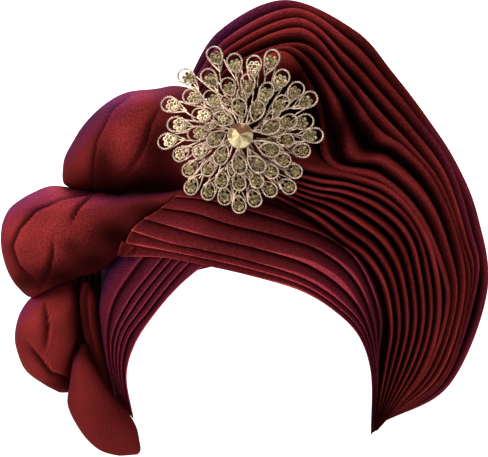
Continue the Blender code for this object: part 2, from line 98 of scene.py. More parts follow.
def new_material(name, uniform):
    """A material, its nodes and its shader. What is uniform is set on the shader's own sockets."""
    made = bpy.data.materials.new(name)
    made.use_nodes = True
    shader = made.node_tree.nodes["Principled BSDF"]
    for socket, value in uniform.items():
        shader.inputs[socket].default_value = value
    return made, made.node_tree, shader


# %% Floor and lights
FLOOR_HEIGHT = -0.42
FLOOR_SIZE = 14
Panel = namedtuple("Panel", "name power size at aim colour")
PANELS = (
    Panel("key", 30, 1.3, (-1.8, -1.6, 1.0), (-0.02, 0, 0.0), (1.0, 0.95, 0.9)),
    Panel("fill", 6, 0.9, (1.6, -1.9, 0.3), (0.05, 0, 0.0), (0.96, 0.97, 1.0)),
    Panel("top", 8, 0.7, (0.1, -0.7, 1.7), (0.0, 0, 0.0), (1.0, 0.98, 0.97)),
    Panel("floor_wash", 220, 3.0, (0, 3.8, 2.4), (0, 3.6, FLOOR_HEIGHT), (1.0, 1.0, 1.0)),
)
WORLD_LIGHT = 0.24

floor = start_from(bpy.ops.mesh.primitive_plane_add, size=FLOOR_SIZE, location=(0, 0, FLOOR_HEIGHT))
floor.name = "floor"
paper, _, _ = new_material("pale paper", {"Base Color": (0.93, 0.93, 0.93, 1), "Roughness": 0.9})
floor.data.materials.append(paper)

for panel in PANELS:
    light = bpy.data.objects.new(panel.name, bpy.data.lights.new(panel.name, "AREA"))
    bpy.context.scene.collection.objects.link(light)
    light.data.energy = panel.power
    light.data.size = panel.size
    light.data.color = panel.colour
    light.location = panel.at
    light.rotation_euler = (Vector(panel.aim) - Vector(panel.at)).to_track_quat("-Z", "Y").to_euler()

world = bpy.data.worlds.new("studio")
world.use_nodes = True
world.node_tree.nodes["Background"].inputs["Color"].default_value = (1, 1, 1, 1)
world.node_tree.nodes["Background"].inputs["Strength"].default_value = WORLD_LIGHT
bpy.context.scene.world = world
bpy.context.scene.view_settings.view_transform = "Standard"
print("lights:", ", ".join(panel.name for panel in PANELS))

# %% [markdown]
# The cloth is shot taffeta: red threads one way and blue threads the other. Its violet sheen is painted
# into the colour: where the cloth turns up or to the left it goes from red through magenta to violet.
# Light and shade are painted too: the folds get a thin painted highlight on their edge, and painted shade
# makes the deep valleys nearly black. Fine slubs run along the threads. The weave follows the cloth, so it
# reads the piece's own UV map, which every cloth piece here measures in metres. Two attributes steer the
# colour: one is the painted light, from how high on its fold a point is, and the other how far the painted
# sheen turns the cloth to violet.

# %% Colours and grain of the taffeta
# The colours of the shot silk's painted sheen, from red through magenta to violet.
SHOT_SHEEN = ((0.0, (0.245, 0.024, 0.021)), (0.4, (0.225, 0.023, 0.041)), (0.8, (0.20, 0.022, 0.064)),
        (1.0, (0.085, 0.018, 0.080)))
# Painted light to brightness: painted shade, nearly black, in the valleys and a painted highlight on the
# crests.
FAN_SHADES = ((0.0, 0.008), (0.35, 0.08), (0.62, 0.38), (0.88, 0.85), (1.0, 1.3))
BAND_SHADES = ((0.0, 0.01), (0.2, 0.06), (0.42, 0.42), (0.85, 0.8), (0.94, 1.1), (1.0, 3.2))
ROLL_SHADES = ((0.0, 0.03), (0.4, 0.3), (0.8, 1.0), (1.0, 1.7))
SLUB_GRAIN, THREAD_GRAIN, CLOUD_GRAIN = (350, 1300, 1), (800, 1100, 1), (28, 28, 28)
SLUB_TONES, THREAD_TONES = ((0.3, 0.72), (0.7, 1.25)), ((0.3, 1.35), (0.7, 0.62))
CLOUD_TONES = ((0.3, 0.85), (0.7, 1.12))
THREAD_SHIFT = {"From Min": 0.3, "From Max": 0.7, "To Min": -0.22, "To Max": 0.3}
SLUB_ROUGHNESS = {"To Min": 0.5, "To Max": 0.66}
SLUB_RELIEF = {"Distance": 0.0001, "Strength": 0.45}
THREAD_RELIEF = {"Distance": 0.00006, "Strength": 0.5}
CLOTH_UNIFORM = {"Metallic": 0.15, "Specular IOR Level": 0.05, "IOR": 1.12,
                 "Specular Tint": (1.0, 0.5, 0.45, 1)}
print(f"the cloth goes through {len(SHOT_SHEEN)} colours")

# %% Nodes by function
def node(tree, kind, inputs=None, **settings):
    """A node with its settings, and with its inputs given a value or linked to an output."""
    made = tree.nodes.new(kind)
    for key, value in settings.items():
        setattr(made, key, value)
    for key, value in (inputs or {}).items():
        if isinstance(value, bpy.types.NodeSocket):
            tree.links.new(value, made.inputs[key])
        else:
            made.inputs[key].default_value = value
    return made


def ramp(tree, factor, stops):
    """A colour ramp whose stops are greys or colours."""
    made = node(tree, "ShaderNodeValToRGB", {"Fac": factor})
    elements = made.color_ramp.elements
    while len(elements) < len(stops):
        elements.new(0.5)
    for element, (position, colour) in zip(elements, stops):
        element.position = position
        element.color = (*colour, 1) if isinstance(colour, tuple) else (colour, colour, colour, 1)
    return made.outputs["Color"]


def noise(tree, where, scale, detail=3.0):
    stretched = node(tree, "ShaderNodeMapping", {"Vector": where, "Scale": scale})
    made = node(tree, "ShaderNodeTexNoise", {"Vector": stretched.outputs["Vector"], "Scale": 1.0,
                                             "Detail": detail})
    return made.outputs["Fac"]


def tinted(tree, colour, other, factor=1.0, blend="MULTIPLY"):
    made = node(tree, "ShaderNodeMix", data_type="RGBA", blend_type=blend)
    for socket, value in ((made.inputs[0], factor), (made.inputs[6], colour), (made.inputs[7], other)):
        if isinstance(value, bpy.types.NodeSocket):
            tree.links.new(value, socket)
        else:
            socket.default_value = value
    return made.outputs[2]


# %% The three cloths
# The way that cloth faces where its painted sheen turns it violet, and how squarely it has to face there to
# start and to finish.
SHEEN_WAY, SHEEN_START, SHEEN_FINISH = (-0.62, 0.42, 0.66), 0.25, 1.0


def cloth_material(name, shades, painted_brightness=1.0):
    made, tree, shader = new_material(name, CLOTH_UNIFORM)
    where = node(tree, "ShaderNodeTexCoord")
    crest = node(tree, "ShaderNodeAttribute", attribute_name="crest").outputs["Fac"]
    cool = node(tree, "ShaderNodeAttribute", attribute_name="cool").outputs["Fac"]
    slub = noise(tree, where.outputs["UV"], SLUB_GRAIN)
    cloud = noise(tree, where.outputs["Object"], CLOUD_GRAIN, 2.0)
    thread = noise(tree, where.outputs["UV"], THREAD_GRAIN, 2.0)
    # The thread grain shifts the painted sheen a little at random.
    shift = node(tree, "ShaderNodeMapRange", {"Value": thread, **THREAD_SHIFT})
    cool = node(tree, "ShaderNodeMath", {0: cool, 1: shift.outputs["Result"]}, operation="ADD",
                use_clamp=True)
    shot_sheen = tuple((position, tuple(painted_brightness * part for part in colour)) for position, colour in SHOT_SHEEN)
    colour = ramp(tree, cool.outputs["Value"], shot_sheen)
    for factor, tones in ((slub, SLUB_TONES), (thread, THREAD_TONES), (cloud, CLOUD_TONES), (crest, shades)):
        colour = tinted(tree, colour, ramp(tree, factor, tones))
    tree.links.new(colour, shader.inputs["Base Color"])
    roughness = node(tree, "ShaderNodeMapRange", {"Value": slub, **SLUB_ROUGHNESS})
    tree.links.new(roughness.outputs["Result"], shader.inputs["Roughness"])
    relief = node(tree, "ShaderNodeBump", {"Height": slub, **SLUB_RELIEF})
    weave = node(tree, "ShaderNodeBump", {"Height": thread, "Normal": relief.outputs["Normal"],
                                          **THREAD_RELIEF})
    tree.links.new(weave.outputs["Normal"], shader.inputs["Normal"])
    return made


def risen(share):
    """A share of the way from nought to one that starts and ends gently."""
    share = np.clip(share, 0, 1)
    return share * share * (3 - 2 * share)


def cooled(normals):
    """How far the painted sheen turns cloth with these normals to violet."""
    return risen((normals @ np.array(SHEEN_WAY) - SHEEN_START) / (SHEEN_FINISH - SHEEN_START))


# One taffeta in three copies lit and shaded by paint: the fan's is painted brighter, the band's darker, and
# each has its own painted shade ramp.
fan_cloth = cloth_material("fan taffeta", FAN_SHADES, painted_brightness=1.1)
band_cloth = cloth_material("band taffeta", BAND_SHADES, painted_brightness=0.78)
roll_cloth = cloth_material("roll taffeta", ROLL_SHADES)
print("cloth materials:", fan_cloth.name, band_cloth.name, roll_cloth.name)

# %% [markdown]
# Every pleated piece is one length of cloth whose folds lie side by side. A table gives the places of a
# few folds from one end of the cloth to the other, and a smooth surface is run through them. The order
# counts folds, so a whole order is a crest. Across each fold the cloth then follows a profile, a short
# list of steps given as a share of the way to the next fold and a height from valley, -1, to crest, 1.

# %% Curves through a table
def calm_slopes(places, values):
    """Slopes that let a curve through uneven places turn only at the tabled values."""
    secants = np.diff(values, axis=0) / np.diff(places).reshape((-1,) + (1,) * (values.ndim - 1))
    before, after = secants[:-1], secants[1:]
    same_way = before * after > 0
    total = np.where(same_way, before + after, 1)
    inner = np.where(same_way, 2 * before * after / total, 0)
    return np.concatenate([secants[:1], inner, secants[-1:]])


def eased(places, values, wanted, calm=False):
    """Values between the tabled ones, on a smooth curve through each of them."""
    places = np.asarray(places, float)
    values = np.asarray(values, float)
    wanted = np.asarray(wanted, float)
    slopes = calm_slopes(places, values) if calm else np.gradient(values, places, axis=0)
    left = np.clip(np.searchsorted(places, wanted, side="right") - 1, 0, len(places) - 2)
    shape = (-1,) + (1,) * (values.ndim - 1)
    step = (places[left + 1] - places[left]).reshape(shape)
    t = (wanted - places[left]).reshape(shape) / step
    start = (1 + 2 * t) * (1 - t) ** 2 * values[left] + t * (1 - t) ** 2 * step * slopes[left]
    finish = t**2 * (3 - 2 * t) * values[left + 1] + t**2 * (t - 1) * step * slopes[left + 1]
    return start + finish


def surface_through(rows, orders, columns):
    """A smooth surface through the table's places: a line for each order, a point for each column."""
    stations = np.array([row[2:] for row in rows], float)
    along = np.linspace(0, stations.shape[1] - 1, columns)
    lines = eased([row.order for row in rows], stations, orders, calm=True)
    points = eased(np.arange(stations.shape[1]), lines.transpose(1, 0, 2), along)
    return place(points.transpose(1, 0, 2))


# %% Folding a surface
# The normals come from the surface this far to both sides of an order.
NUDGE = 0.04
# The folds close up over the last columns at both ends of the cloth, down to this share of their depth.
CLOSED_DEPTH, CLOSING_COLUMNS = 0.3, 16
# The light's slow change along a fold has a few knots, drawn for every fold that a table may hold.
WAVER_SEED, WAVER_KNOTS, WAVER_FOLDS = 7, 7, range(-4, 18)


def fold_steps(first, last, profile):
    """The orders and heights of every step of every fold, in the order that the cloth runs."""
    folds = range(math.floor(first), math.ceil(last))
    steps = np.array([(fold + share, height) for fold in folds for share, height in profile])
    return steps[(first <= steps[:, 0]) & (steps[:, 0] <= last)].T


def outward_normals(rows, orders, columns):
    """The smooth surface's normals towards the viewer, and the distance from fold to fold."""
    across = surface_through(rows, orders + NUDGE, columns) - surface_through(rows, orders - NUDGE, columns)
    along = np.gradient(surface_through(rows, orders, columns), axis=1)
    normal = np.cross(across, along)
    normal /= np.maximum(np.linalg.norm(normal, axis=2, keepdims=True), 1e-12)
    if normal[:, :, 1].sum() > 0:
        normal = -normal
    return normal, np.linalg.norm(across, axis=2) / (2 * NUDGE)


def folded(rows, first, last, profile, columns, crest_rise, crest_share, depth, depth_share, uneven=0.0):
    """The places of a pleated cloth, the painted light that each gets from how high on its fold it is, and
    its painted violet sheen.

    Crests rise and valleys fall by millimetres, but by no more than a share of the way to the next fold."""
    orders, heights = fold_steps(first, last, profile)
    smooth = surface_through(rows, orders, columns)
    normal, spacing = outward_normals(rows, orders, columns)
    rise = np.minimum(crest_rise * MM, crest_share * spacing)
    fall = np.minimum(depth * MM, depth_share * spacing)
    from_end = np.minimum(np.arange(columns), np.arange(columns)[::-1])
    closing = np.clip(CLOSED_DEPTH + (1 - CLOSED_DEPTH) * from_end / CLOSING_COLUMNS, 0, 1)
    offset = rise - fall * closing * (1 - heights[:, None]) / 2
    # Painted light: highest on the crests, lowest in the valleys, with a slow random change along each fold.
    crest = (1 + heights[:, None]) / 2 * (1 - waver(orders, columns, uneven))
    return smooth + normal * offset[:, :, None], crest, cooled(normal)


def waver(orders, columns, uneven):
    """No two folds of real cloth catch the light alike: a slow random change along each of them."""
    dice = np.random.default_rng(WAVER_SEED)
    knots = np.linspace(0, columns - 1, WAVER_KNOTS)
    folds = {fold: np.interp(np.arange(columns), knots, dice.uniform(0, uneven, WAVER_KNOTS))
             for fold in WAVER_FOLDS}
    return np.array([folds[round(order)] for order in orders])


# %% Points, walls and values of a mesh
def points_of(mesh):
    points = np.empty(len(mesh.vertices) * 3)
    mesh.vertices.foreach_get("co", points)
    return points.reshape(-1, 3)


def move_points(mesh, points):
    mesh.vertices.foreach_set("co", points.ravel())
    mesh.update()


def thicken(piece, wall, offset=-1):
    solid = piece.modifiers.new("wall", "SOLIDIFY")
    solid.thickness = wall * MM
    solid.offset = offset
    bpy.ops.object.modifier_apply(modifier=solid.name)


def give_values(mesh, domain, **values):
    """Numbers that a material reads, one for each point or face."""
    for name, value in values.items():
        mesh.attributes.new(name, "FLOAT", domain).data.foreach_set("value", np.ravel(value))


# %% Cloth from places
CLOTH_WALL, CORNER_WALL = 0.7, 0.5
SHARP_EDGE = math.radians(50)


def running_length(points, axis):
    """How far along the cloth each line of points lies, on average over the other way."""
    steps = np.linalg.norm(np.diff(points, axis=axis), axis=2).mean(axis=1 - axis)
    return np.concatenate([[0], np.cumsum(steps)])


def laid_cloth(name, points, crest, cool, wall, material):
    """A grid primitive whose points are moved to the given places and which then gets its thickness."""
    rows, columns = points.shape[:2]
    piece = start_from(bpy.ops.mesh.primitive_grid_add, x_subdivisions=columns - 1, y_subdivisions=rows - 1,
                       size=2)
    piece.name = piece.data.name = name
    mesh = piece.data
    column, row = np.rint((points_of(mesh)[:, :2] + 1) / 2 * (columns - 1, rows - 1)).astype(int).T
    move_points(mesh, points[row, column])
    give_values(mesh, "POINT", crest=crest[row, column], cool=cool[row, column])
    along, across = running_length(points, axis=1), running_length(points, axis=0)
    corner = np.empty(len(mesh.loops), int)
    mesh.loops.foreach_get("vertex_index", corner)
    measured = np.stack([along[column], across[row]], axis=1)[corner]
    mesh.uv_layers.active.data.foreach_set("uv", measured.ravel())
    if sum(face.normal.dot(face.center) * face.area for face in mesh.polygons) < 0:
        mesh.flip_normals()
    thicken(piece, wall)
    mesh.materials.append(material)
    bpy.ops.object.shade_smooth_by_angle(angle=SHARP_EDGE)
    print(f"{name}: {len(mesh.polygons)} faces, cloth about {along[-1]:.3f} by {across[-1]:.3f} m")
    return piece, (float(along[-1]), float(across[-1]))


# %% [markdown]
# Where cloth presses against cloth the photograph is nearly black, more than soft light alone makes it.
# So each piece may have a few soft painted shadows. A spot is a pixel of the photograph with a width, a
# height and a depth, and it lowers the painted light there. A depth below nought makes a painted highlight.

# %% Painted shadows
PHOTO_ORIGIN = (249, 186)
Spot = namedtuple("Spot", "x y wide high depth")


def seen(x, y):
    """A pixel of the photograph as millimetres across and up."""
    return (x - PHOTO_ORIGIN[0]) * PIXEL, (PHOTO_ORIGIN[1] - y) * PIXEL


def as_seen(points):
    """Places in the frame as millimetres across and up in the photograph."""
    across, backward, height = np.moveaxis(points / MM, -1, 0)
    return np.stack([across, height * math.cos(VIEW_TILT) + backward * math.sin(VIEW_TILT)], axis=-1)


def shadowed(where, spots):
    """The share of light that the soft dark spots leave at places given across and up."""
    left = np.ones(where.shape[:-1])
    for spot in spots:
        offset = (where - seen(spot.x, spot.y)) / (spot.wide * PIXEL, spot.high * PIXEL)
        left = left * (1 - spot.depth * np.exp(-(offset**2).sum(axis=-1)))
    return left


# %% [markdown]
# The fan is the showpiece. Seven narrow pleats curve from the brooch round to the tip low at the right,
# then come the tall folds. Each of those climbs over the fan, breaks in a notch beside the brooch, and
# runs down the outside. Their crests follow the real ones, and between them the cloth drops into deep
# pockets. Accordion pleats have rounded crests and narrow valleys, so the profile is wide at the top.

# %% The fan's table
Fold = namedtuple("Fold", "name order tip cheek side bulge shoulder corner notch arm crest tuck end")
FAN_FOLDS = (
    Fold("first fold", 1, (82.8, -163.5, 4), (91, -118, 9), (94, -92, 24), (89, -65, 46), (77, -46, 65),
         (61, -34, 78), (46, -22, 87), (32, -14, 91), (20, -8, 93), (6, -2, 94), (-19, 2, 91.5)),
    Fold("seventh fold", 7, (84, -162, -6), (114, -123, 2), (125, -85, 20), (121, -48, 38), (108, -21, 55),
         (90, -3, 69), (68, 5, 79), (48, 9, 85), (30, 13, 87), (6, 16, 88), (-24, 20, 84.5)),
    Fold("pocket", 7.5, (84.3, -161, -8), (116, -123, -2), (127, -82, 15), (123, -48, 33), (108, -19, 49),
         (87, 0, 61), (60, 8, 66), (47, 30, 57), (26, 50, 56), (2, 42, 68), (-22, 35, 78)),
    Fold("notch fold", 8, (84.6, -160.5, -9), (118, -123, 0), (131, -79, 17), (126, -49, 34), (110, -17, 52),
         (86, 5, 66), (53, 16, 74), (46, 53, 60), (24, 86, 47), (-3, 73, 62), (-24, 47, 76)),
    Fold("second notch", 9, (85.5, -158.5, -11), (121, -124, -2), (136, -75, 13), (130, -40, 30),
         (116, -9, 46), (90, 15, 62), (67, 22, 68), (53, 60, 54), (27, 90, 42), (-6, 75, 60), (-26, 52, 72)),
    Fold("third notch", 10, (86, -158, -13), (125, -125, -5), (141, -72, 9), (136, -34, 25), (120, 3, 42),
         (101, 24, 54), (83, 36, 59), (62, 65, 48), (34, 92, 38), (-9, 79, 56), (-27, 56, 68)),
    Fold("upper fold", 11, (86.5, -157.5, -15), (129, -125.5, -8), (145, -67, 5), (139, -36, 19),
         (125, 1, 34), (105, 26, 47), (85, 47, 47), (63, 73, 41), (34, 102, 28), (-10, 85, 48),
         (-31, 59.5, 62)),
    Fold("inner rim", 13, (88, -156.5, -19), (129, -128.5, -12), (150.5, -63, 0), (145, -28, 10),
         (131, 14, 21), (110, 43, 30), (89, 68, 31), (66, 93, 26), (30, 115, 14), (-14, 95, 33),
         (-35.5, 66, 47)),
    Fold("rim", 14, (88.5, -155.5, -22), (131.5, -131, -16), (156, -70, -6), (149.5, -20, 0), (135, 15, 8),
         (116, 44, 13), (93.5, 73.5, 13), (69, 101, 9), (24, 121, -2), (-18, 101, 12), (-38.5, 68.5, 29)),
)
# The folds behind the rim: order, share of the way out from the pole, and millimetres further back.
FAN_POLE = (20, -10)
RETURN_FOLDS = ((15, 0.96, 13), (16, 0.88, 20))
ACCORDION = ((0, 1), (0.07, 0.97), (0.16, 0.84), (0.27, 0.55), (0.37, 0.05), (0.45, -0.6), (0.52, -0.95),
             (0.58, -1), (0.64, -0.85), (0.71, -0.35), (0.79, 0.3), (0.87, 0.75), (0.94, 0.95))
FAN_COLUMNS = 200
# The cloth starts and ends in a valley, and its last folds get more painted violet sheen behind the rim.
FAN_START, FAN_FINISH = 0.5, 15.5
RIM_VIOLET, VIOLET_FOLDS = 0.35, 3
# Painted shadows in the pockets by the notches, under the brooch and at the tip, and painted highlights at
# the top and the right.
FAN_SPOTS = (Spot(338, 134, 9, 20, 0.75), Spot(366, 138, 10, 16, 0.7), Spot(319, 118, 9, 34, 0.55),
             Spot(352, 104, 9, 26, 0.35), Spot(300, 205, 26, 6, 0.5), Spot(378, 425, 26, 22, 0.6),
             Spot(302, 78, 15, 28, 0.6), Spot(285, 26, 62, 24, -0.4), Spot(440, 170, 30, 60, -0.12))


def returning(rim):
    """The folds that turn back behind the rim, drawn in towards the fan's pole."""
    for order, share, back in RETURN_FOLDS:
        stations = [(FAN_POLE[0] + (across - FAN_POLE[0]) * share, FAN_POLE[1] + (up - FAN_POLE[1]) * share,
                     forward - back) for across, up, forward in rim[2:]]
        yield Fold("return", order, *stations)


# %% Fold the fan
fan_rows = FAN_FOLDS + tuple(returning(FAN_FOLDS[-1]))
fan_points, fan_painted_light, fan_cool = folded(
    fan_rows, FAN_START, FAN_FINISH, ACCORDION, FAN_COLUMNS,
    crest_rise=2.6, crest_share=0.4, depth=9.5, depth_share=1.1, uneven=0.3)
fan_painted_light *= shadowed(as_seen(fan_points), FAN_SPOTS)
fan_cool[-VIOLET_FOLDS * len(ACCORDION):, :FAN_COLUMNS // 2] += RIM_VIOLET
fan, fan_flat = laid_cloth("pleated_fan", fan_points, fan_painted_light, fan_cool, CLOTH_WALL, fan_cloth)
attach(fan, "root")
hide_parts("fan")

# %% [markdown]
# The wrap across the brow is a stack of knife pleats. Each pleat's folded lower edge lies on the one
# below it, like a roof tile, so it shows a thin bright line with a shadow under it, and a painted highlight
# on the edge and painted shade under it make both stronger. The profile is therefore a saw tooth with a
# small undercut: the cloth slips under the next edge, turns and comes out.

# %% The brow band
BandRow = namedtuple("BandRow", "name order left temple peak brow bend right side cheek tip")
BROW_ROWS = (
    BandRow("hem", 0, (-84, -46, 52), (-55, -47, 81), (-30, -52, 95), (1, -59, 97), (34, -69, 94),
            (57, -83, 79), (73, -100, 56), (81, -125, 30), (81.3, -165, 10)),
    BandRow("second ridge", 2, (-77, -29, 66), (-52, -37, 84), (-29, -42, 95), (1, -49, 97.8), (35, -60, 94),
            (60, -76, 78), (76, -95, 54), (83, -125, 25), (82.2, -163, 7)),
    BandRow("fourth ridge", 4, (-57, -14, 81), (-34, -18, 92), (-12, -25, 96), (20, -33, 94), (48, -43, 82),
            (70, -62, 63), (82, -90, 38), (85, -122, 16), (83, -156, 2)),
    BandRow("fifth ridge", 5, (-48, -7, 86), (-28, -9, 92), (-4, -15, 93), (26, -24, 87), (54, -35, 73),
            (73, -52, 55), (86, -85, 28), (85, -120, 9), (84.2, -156, -2)),
    BandRow("tucked top", 7, (-39, 0, 85), (-24, 4, 86), (-2, 4, 85), (28, -8, 80), (58, -28, 65),
            (79, -44, 45), (95, -80, 11), (92, -116, -6), (86, -155, -12)),
)
KNIFE = ((0, 1), (0.03, 0.98), (0.08, 0.86), (0.2, 0.66), (0.4, 0.34), (0.6, 0.02), (0.8, -0.34),
         (0.95, -0.62), (1.02, -0.9), (1.03, -0.98), (1.01, -0.8), (0.985, 0.2), (0.975, 0.75), (0.985, 0.95))
SMOOTH = ((0, 1), (0.25, 1), (0.5, 1), (0.75, 1))
BAND_COLUMNS = 150
LAST_PLEAT, SMOOTH_FROM, SMOOTH_TO = 5.97, 6, 7.2
# The tucked top gets little painted light: painted shade under the brooch.
SMOOTH_PAINTED_LIGHT = 0.3
# A painted shadow at the tip and painted highlights across the band.
BAND_SPOTS = (Spot(374, 420, 20, 40, 0.6), Spot(320, 280, 60, 24, -0.35), Spot(150, 243, 44, 20, -0.12))
# How much painted violet sheen the band gets at these shares of its length, from the viewer's left to the
# tip.
BAND_VIOLET = ((0, 0.4, 0.75), (0.1, 0.15, 0.45))

band_points, band_painted_light, band_cool = folded(
    BROW_ROWS, 0, LAST_PLEAT, KNIFE, BAND_COLUMNS,
    crest_rise=1.0, crest_share=0.22, depth=3.0, depth_share=0.5, uneven=0.12)
top_points, top_painted_light, top_cool = folded(
    BROW_ROWS, SMOOTH_FROM, SMOOTH_TO, SMOOTH, BAND_COLUMNS,
    crest_rise=0, crest_share=0, depth=0, depth_share=0)
# A painted highlight along the band's left end.
band_painted_light[:, 0] = 1
band_painted_light *= shadowed(as_seen(band_points), BAND_SPOTS)
violet = np.interp(np.arange(BAND_COLUMNS), BAND_COLUMNS * np.array(BAND_VIOLET[0]), BAND_VIOLET[1])
band, band_flat = laid_cloth("brow_pleats", np.concatenate([band_points, top_points]),
                             np.concatenate([band_painted_light, SMOOTH_PAINTED_LIGHT * top_painted_light]),
                             np.concatenate([band_cool, top_cool]) + violet, CLOTH_WALL, band_cloth)
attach(band, "root")
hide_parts("brow_band")

# %% [markdown]
# Where the brow band starts, its hem is turned over into a small corner of doubled cloth. It could be
# folded from a flat patch. Three short rows through the same tools are simpler, and they give the bulge
# and the two edges that show.

# %% The folded corner
CornerRow = namedtuple("CornerRow", "name order top foot")
CORNER_ROWS = (
    CornerRow("outer edge", 0, (-84, -36.5, 63), (-87, -45.5, 57.5)),
    CornerRow("bulge", 1, (-79.5, -38.5, 70.5), (-84.8, -46.6, 63)),
    CornerRow("inner edge", 2, (-74.5, -41, 66.5), (-83, -46.8, 58.5)),
)
CORNER_COLUMNS = 20
# Painted light from the outer edge, -1, over the bulge, 0, to the inner edge, 1: painted highlights on both
# edges.
CORNER_PAINTED_LIGHT = ((-1, -0.6, 0, 0.6, 1), (1, 0.5, 0.3, 0.7, 1))
corner_points, _, corner_cool = folded(
    CORNER_ROWS, 0, 2, SMOOTH, CORNER_COLUMNS, crest_rise=0, crest_share=0, depth=0, depth_share=0)
corner_painted_light = np.interp(np.linspace(-1, 1, len(corner_points)), *CORNER_PAINTED_LIGHT)
corner, corner_flat = laid_cloth("folded_corner", corner_points,
                                 np.repeat(corner_painted_light[:, None], CORNER_COLUMNS, axis=1),
                                 corner_cool, CORNER_WALL, band_cloth)
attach(corner, "root")

# %% [markdown]
# At the viewer's left temple the cloth is a smooth panel that ends in four narrow knife pleats beside
# the face opening. Their edges point into it, so the same saw tooth is run the other way round.
# Separate pleats would leave gaps, so one length of cloth runs from behind the head to the hem.

# %% The temple wrap
TempleRow = namedtuple("TempleRow", "name order top upper middle lower cheek end")
TEMPLE_ROWS = (
    TempleRow("behind the head", -3, (-92, -40, -52), (-93, -66, -51), (-93, -90, -49), (-93, -110, -46),
              (-92, -130, -42), (-90, -148, -38)),
    TempleRow("behind the rolls", -2, (-120, -42, -50), (-125, -70, -44), (-127, -92, -42),
              (-125, -110, -42), (-122, -131, -38), (-107, -151, -30)),
    TempleRow("under the rolls", -1, (-109, -57.5, -24), (-113, -74, -22), (-114, -90, -24),
              (-112, -107, -26), (-106, -128, -25), (-95, -148, -21)),
    TempleRow("side", 0, (-97, -55, 2), (-98, -71, 0), (-99, -86, -6), (-97, -102, -10), (-93, -124, -12),
              (-86, -147, -12)),
    TempleRow("panel edge", 1, (-84, -44, 40), (-92, -57, 35), (-98, -76, 27), (-97, -97, 16),
              (-93, -121, 8), (-85, -147.5, 3.5)),
    TempleRow("first pleat", 3, (-53, -43, 76), (-65, -57, 69), (-79, -75, 54), (-90, -98, 35),
              (-90, -122, 17), (-82.4, -149.5, 7.5)),
    TempleRow("fourth pleat", 6, (-36, -47, 87), (-51, -63, 80), (-66, -82, 65), (-80, -101, 44),
              (-84, -124, 24), (-78.8, -152, 10.5)),
    TempleRow("hem", 7, (-27, -50, 90), (-45, -65, 84), (-61, -83, 71), (-75, -104, 49), (-81, -126, 27),
              (-76.6, -154, 11.5)),
)
KNIFE_TO_FACE = tuple((1 - share, height) for share, height in reversed(KNIFE[1:])) + ((1, 1),)
TUCK = ((0, 1), (0.15, 0.8), (0.35, -0.2), (0.5, -1), (0.65, -0.2), (0.85, 0.8))
TUCKS_PER_ORDER = 3
TUCKS = tuple(((tuck + share) / TUCKS_PER_ORDER, height)
              for tuck in range(TUCKS_PER_ORDER) for share, height in TUCK)
TEMPLE_COLUMNS = 110
# Each stretch has its orders, its profile and depth, and its share of painted light and of painted violet
# sheen. The stretches behind and under the rolls get little painted light: painted shade.
Stretch = namedtuple("Stretch", "first last profile depth depth_share crest violet")
TEMPLE_STRETCHES = (
    Stretch(-3, -1.4, SMOOTH, 0, 0, 0.3, 0.0), Stretch(-1.34, -0.1, TUCKS, 4.0, 0.25, 0.4, 0.0),
    Stretch(0, 1.99, SMOOTH, 0, 0, 0.76, 0.58), Stretch(2, 7, KNIFE_TO_FACE, 2.8, 0.55, 1.0, 0.45),
)
temple_places, temple_painted_lights, temple_cools = [], [], []
for stretch in TEMPLE_STRETCHES:
    points, crest, cool = folded(
        TEMPLE_ROWS, stretch.first, stretch.last, stretch.profile, TEMPLE_COLUMNS,
        crest_rise=0.8, crest_share=0.22, depth=stretch.depth, depth_share=stretch.depth_share)
    temple_places.append(points)
    temple_painted_lights.append(stretch.crest * crest)
    temple_cools.append(np.clip(cool * (stretch.violet > 0) + stretch.violet, 0, 1))
temple, temple_flat = laid_cloth("temple_pleats", np.concatenate(temple_places),
                                 np.concatenate(temple_painted_lights), np.concatenate(temple_cools),
                                 CLOTH_WALL, band_cloth)
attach(temple, "root")
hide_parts("temple_wrap")

# %% [markdown]
# The rolls are padded cloth. Each starts as a ball, drawn out along its length so that every ring fits
# the table's section there. The cloth over the padding is pulled into long creases where it is twisted
# into the next roll. A crease is given as a line on the front of the roll: one side of it stands proud
# and laps over the other, and the step fades out a little way off and at both ends of the line.

# %% Tables of the rolls
# A section's place along the roll, its low and high side, its front and its back, in millimetres.
PUFF_TOP = (
    (-124, 4, 7, 0, -4), (-122.6, 0, 17, 12, -14), (-117.5, -2.6, 27, 24, -30),
    (-109.5, -3.8, 39.5, 35, -38), (-96.5, -4.9, 52.3, 46, -45), (-80, -7.2, 62, 56, -46),
    (-62, -7, 64.6, 60, -44), (-48, -7, 66.5, 64, -30), (-34, -5, 61.5, 70, 10), (-18, 3, 42, 75, 62),
)
PUFF_SIDE = (
    (-165, -38, -34, 6, 2), (-163.6, -47, -25, 16, -8), (-159.5, -59, -16.5, 25, -18),
    (-153, -68.5, -11, 32, -28), (-144, -74.5, -5.8, 39, -36), (-131, -67.5, -1.2, 46, -44),
    (-114, -60, -2.7, 54, -42), (-98, -54.6, -3.2, 60, -30), (-84, -42, -4.6, 64, 10),
    (-68, -24, -5, 70.6, 44), (-54, -13, -4, 78.6, 62), (-43, -5, -2, 80, 74),
)
PUFF_LOW = (
    (-63.4, -122, -117, 0, -6), (-73, -142, -112.7, 16, -16), (-85, -152, -111.6, 27, -26),
    (-100, -155.8, -112.6, 28, -32), (-112, -154, -116.5, 24, -30), (-124, -148.6, -118.3, 16, -24),
    (-133, -137, -119, 8, -16), (-139, -126, -120, 0, -6),
)
PUFF_TAIL = (
    (-104, -111, -108, 16, 9), (-116, -116.6, -103.6, 24, 1.4), (-130, -119, -96, 30, -1),
    (-144, -120.5, -84.2, 33, 2), (-158, -114, -75.3, 34, 9), (-169, -105.5, -72.6, 31, 12),
    (-175, -97, -72, 28, 15), (-178, -86, -74, 24, 20),
)
